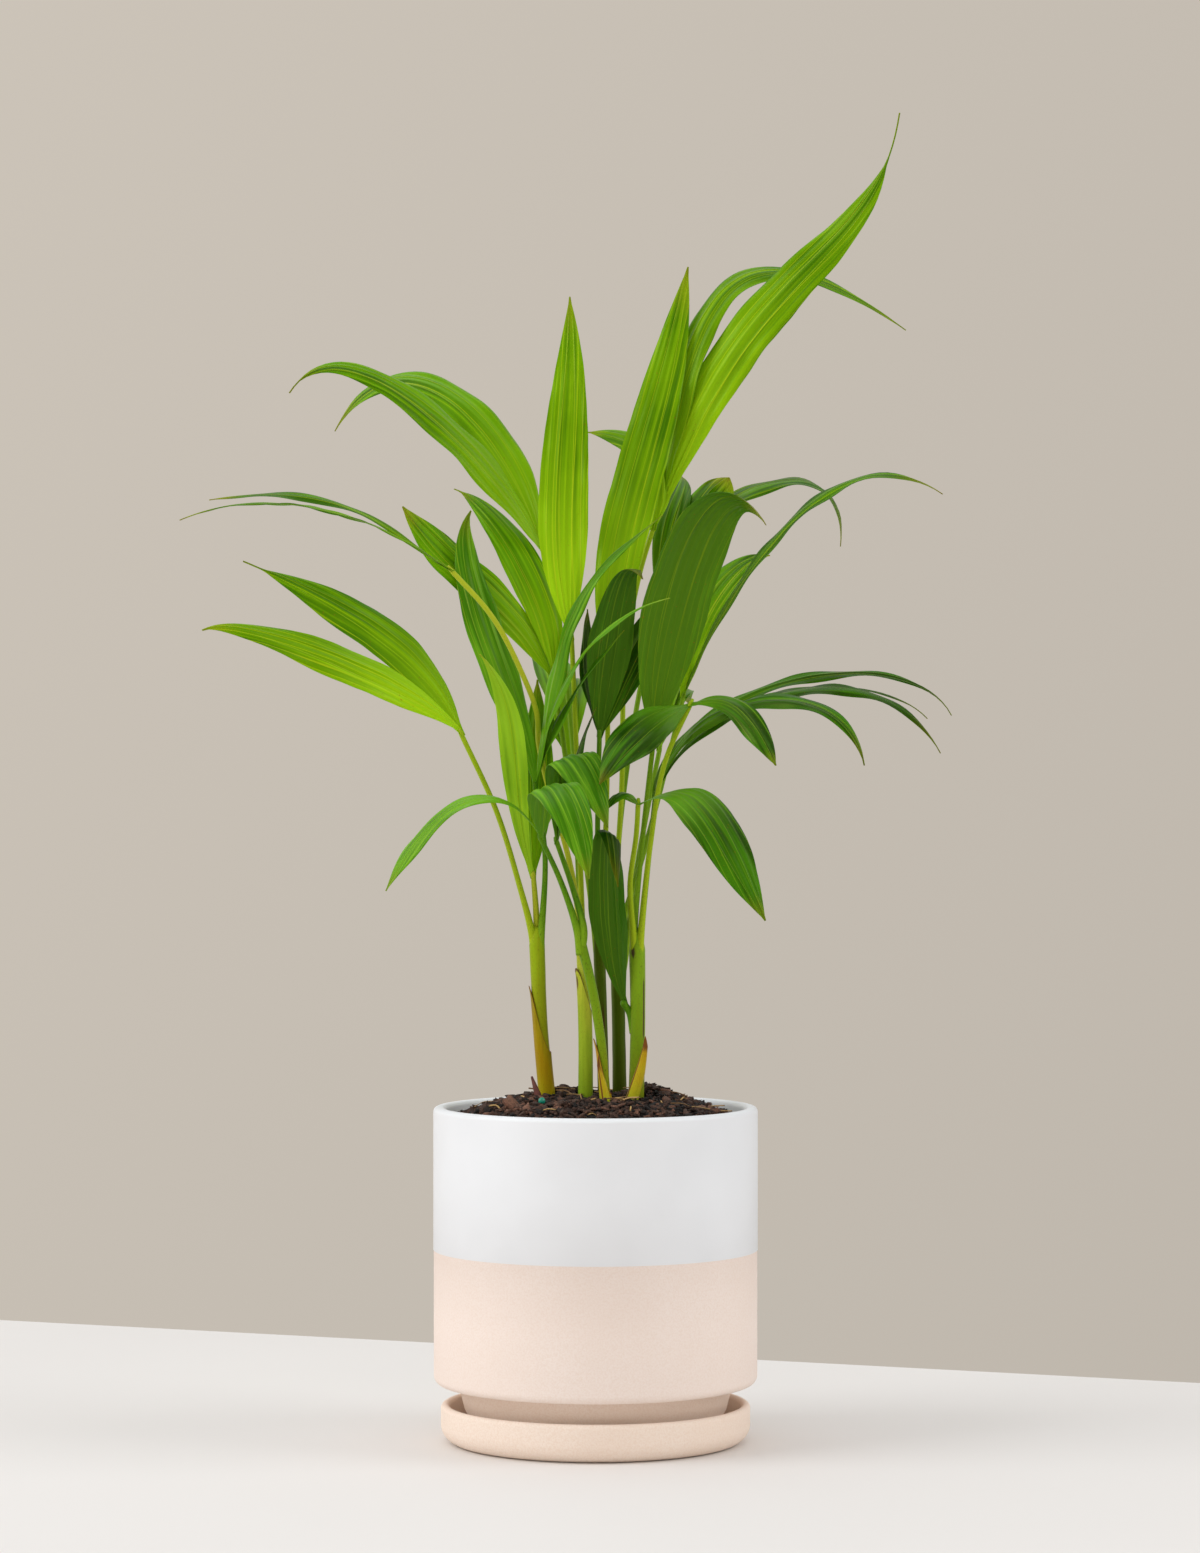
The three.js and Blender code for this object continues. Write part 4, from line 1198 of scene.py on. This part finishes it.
def leaf_finish(name, deep, fresh, glow, vein, underside, dryness):
    """A finish from the colours of a leaf in the shade, in its prime and against the light."""
    material, tree, skin = shader(name)
    along, under, rib, tone = (attribute(tree, mark) for mark in ("along", "under", "rib", "tone"))
    broad = stripes(tree, 0.24, 1.4, 1.0)
    veins = stripes(tree, 0.6, 2.0, 0.0)
    fine = stripes(tree, 1.1, 3.0, 0.0)
    mottle = speckle(tree, 30.0, 3.0)
    # The tone is painted light and shade: with the stripes it picks the green, from the shade's through
    # the leaf's own to the glow against the light.
    share = plus(tree, tone, -1.2)
    for part, weight in ((broad, 0.8), (veins, 0.6), (mottle, 0.6), (fine, 0.4)):
        share = plus(tree, share, times(tree, part, weight))
    line = plus(tree, attribute(tree, "across"), times(tree, broad, LINE_GAP))
    line = ramp(tree, maths(tree, "PINGPONG", line, LINE_GAP / 2), 0.28, 0.08)
    drawn = ramp(tree, stripes(tree, 0.5, 0.6, 1.0), 0.4, 0.65, 0.08, 0.6)
    # Lines and ribs are fainter on a leaflet of low tone: painted shade.
    seen = ramp(tree, tone, -0.1, 0.4, 0.4, 1.0)
    ends = plus(tree, along, times(tree, plus(tree, veins, -0.5), 0.08))
    body = painted(
        tree, deep,
        (ramp(tree, share, 0.0, 0.5), fresh),
        (ramp(tree, share, 0.5, 1.0), glow),
        # Painted light: the root glows, as if lit through.
        (times(tree, ramp(tree, along, 0.6, 0.05), ramp(tree, tone, 0.0, 0.3, 0.1, 0.9)), glow),
        (times(tree, under, 0.5), underside),
        (times(tree, line, times(tree, drawn, seen)), vein),
        (ramp(tree, rib, 0.1, 0.9, 0.0, times(tree, seen, 0.6)), vein),
        (ramp(tree, ends, 0.85, 0.99, 0.0, dryness), "b09a22"),
        (ramp(tree, ends, 0.975, 1.0, 0.0, dryness), "6e3f20"),
        (ramp(tree, speckle(tree, 900.0, 1.0), 0.75, 0.78, 0.0, 0.6), "8a4e1a"))
    feed(tree, skin, {
        "Base Color": body, "Roughness": ramp(tree, mottle, 0.25, 0.75, 0.3, 0.42),
        "Specular IOR Level": 0.3, "Specular Tint": SHEEN_TONE, "Subsurface Weight": 0.1,
        "Subsurface Radius": (0.5, 1.0, 0.05), "Subsurface Scale": 1.2 * MM,
        "Normal": bump(tree, veins, 0.2, 0.12)})
    return material


# A plain, a sunlit and a shaded copy of one finish: painted light and shade.
LEAF_FINISHES = {
    "leaf": leaf_finish("leaf_green", "2a5800", "5c9400", "8cbc0e", "b4c41c", "5c8a20", 0.4),
    "leaf_bright": leaf_finish("leaf_sunlit", "3c7000", "6c9c00", "a4d412", "c4d820", "80ac30", 0.3),
    "leaf_dark": leaf_finish("leaf_shaded", "143a00", "387206", "6ea81e", "90b02a", "447418", 0.2),
}
print(len(LEAF_FINISHES), "greens")

# %% Fronds
LEAF_SEED = 5
LEAF_CREASE = 65
draw = random.Random(LEAF_SEED)
longest = 0.0
for name, plan in FRONDS.items():
    green, hand = plan["green"], plan["path"][-1]
    stalk = petiole_line(plan)
    long = stalk.length / MM
    arriving = stalk.direction(1.0)
    rows = round(long * PETIOLE_ROWS_PER_MM) + 8
    bm = blank()
    tube(bm, stalk, lambda share, turn: petiole_radius(share, long), rows, PETIOLE_AROUND)
    piece(f"petiole_{name}", closed(bm), PETIOLE_FINISHES[plan["stalk"]], "cane", f"frond_{name}")
    bm = blank()
    for leaflet in plan["leaflets"]:
        longest = max(longest, leaflet_sleeve(bm, leaflet, hand, arriving))
    blades = piece(f"blades_{name}", closed(bm), LEAF_FINISHES[green], green, f"frond_{name}")
    sharpened(blades, LEAF_CREASE)
print(len(FRONDS), "fronds, the longest leaflet is", round(longest), "mm")

# %% [markdown]
# ## Floor and light
#
# The plant stands on a pale floor in front of a plain wall. The wall is only a colour of the
# surroundings, a little lighter to the left and upwards, under a neutral ceiling, so nothing gets
# in the camera's way when it walks round the plant. The floor is a grid, cut off at its back edge.
#
# Soft daylight comes from the upper left, so the main lamp is a large area light there. A weaker
# one fills from the right, a faint one lights the front of the pot, and one from above gives the
# upper leaves their sheen.

# %% The floor
FLOOR_SIZE = 3000
FLOOR_EDGE = ((-361, 474), (327, 203))
FLOOR = clouded_finish("pale_floor", "e6e2df", "e4e0dd", 2.5, 3.0, 1.0, 0.75)
floor_mesh = blank()
bmesh.ops.create_grid(floor_mesh, x_segments=20, y_segments=20, size=FLOOR_SIZE / 2 * MM)
one, other = (Vector((x, y, 0)) * MM for x, y in FLOOR_EDGE)
behind = UP.cross(other - one)
everything = floor_mesh.verts[:] + floor_mesh.edges[:] + floor_mesh.faces[:]
bmesh.ops.bisect_plane(floor_mesh, geom=everything, plane_co=one, plane_no=behind, clear_outer=True)
floor = bpy.data.objects.new("floor", bpy.data.meshes.new("floor"))
floor_mesh.to_mesh(floor.data)
floor_mesh.free()
floor.data.materials.append(FLOOR)
scene.collection.objects.link(floor)
print("the floor has", len(floor.data.polygons), "faces")

# %% Surroundings and lamps
WALL_TONE = colour("c5bdb2")
CEILING = (0.6, 0.6, 0.6, 1.0)
surroundings = bpy.data.worlds.new("surroundings")
surroundings.use_nodes = True
sky = surroundings.node_tree
toward = add(sky, "SeparateXYZ", {0: add(sky, "TexCoord").outputs["Generated"]}).outputs
lightness = plus(sky, times(sky, toward[0], -0.3), 1.0)
lightness = plus(sky, lightness, times(sky, toward[2], 0.2))
wall = add(sky, "VectorMath", {0: WALL_TONE[:3], "Scale": lightness}, operation="SCALE").outputs[0]
room = painted(sky, wall, (ramp(sky, toward[2], 0.3, 0.6), CEILING))
feed(sky, sky.nodes["Background"], {"Color": room})
scene.world = surroundings

LAMP_TONE = (0.98, 1.01, 1.03)
LOOKED_AT = Vector((0, 0, 0.3))
# Each lamp: its place, its size and its power.
LAMPS = {
    "key": ((-2.1, -0.7, 1.8), 1.6, 31.0),
    "fill": ((2.1, -0.4, 1.4), 1.3, 18.0),
    "front": ((0.0, -2.4, 0.9), 1.3, 4.0),
    "top": ((-0.3, 0.3, 2.3), 1.8, 9.0),
}
for name, (place, size, power) in LAMPS.items():
    light = bpy.data.lights.new(name, "AREA")
    light.size = size
    light.energy = power
    light.color = LAMP_TONE
    holder = bpy.data.objects.new(name, light)
    holder.location = place
    holder.rotation_euler = (LOOKED_AT - Vector(place)).to_track_quat("-Z", "Y").to_euler()
    scene.collection.objects.link(holder)
scene.view_settings.view_transform = "Standard"
print(len(LAMPS), "lamps")
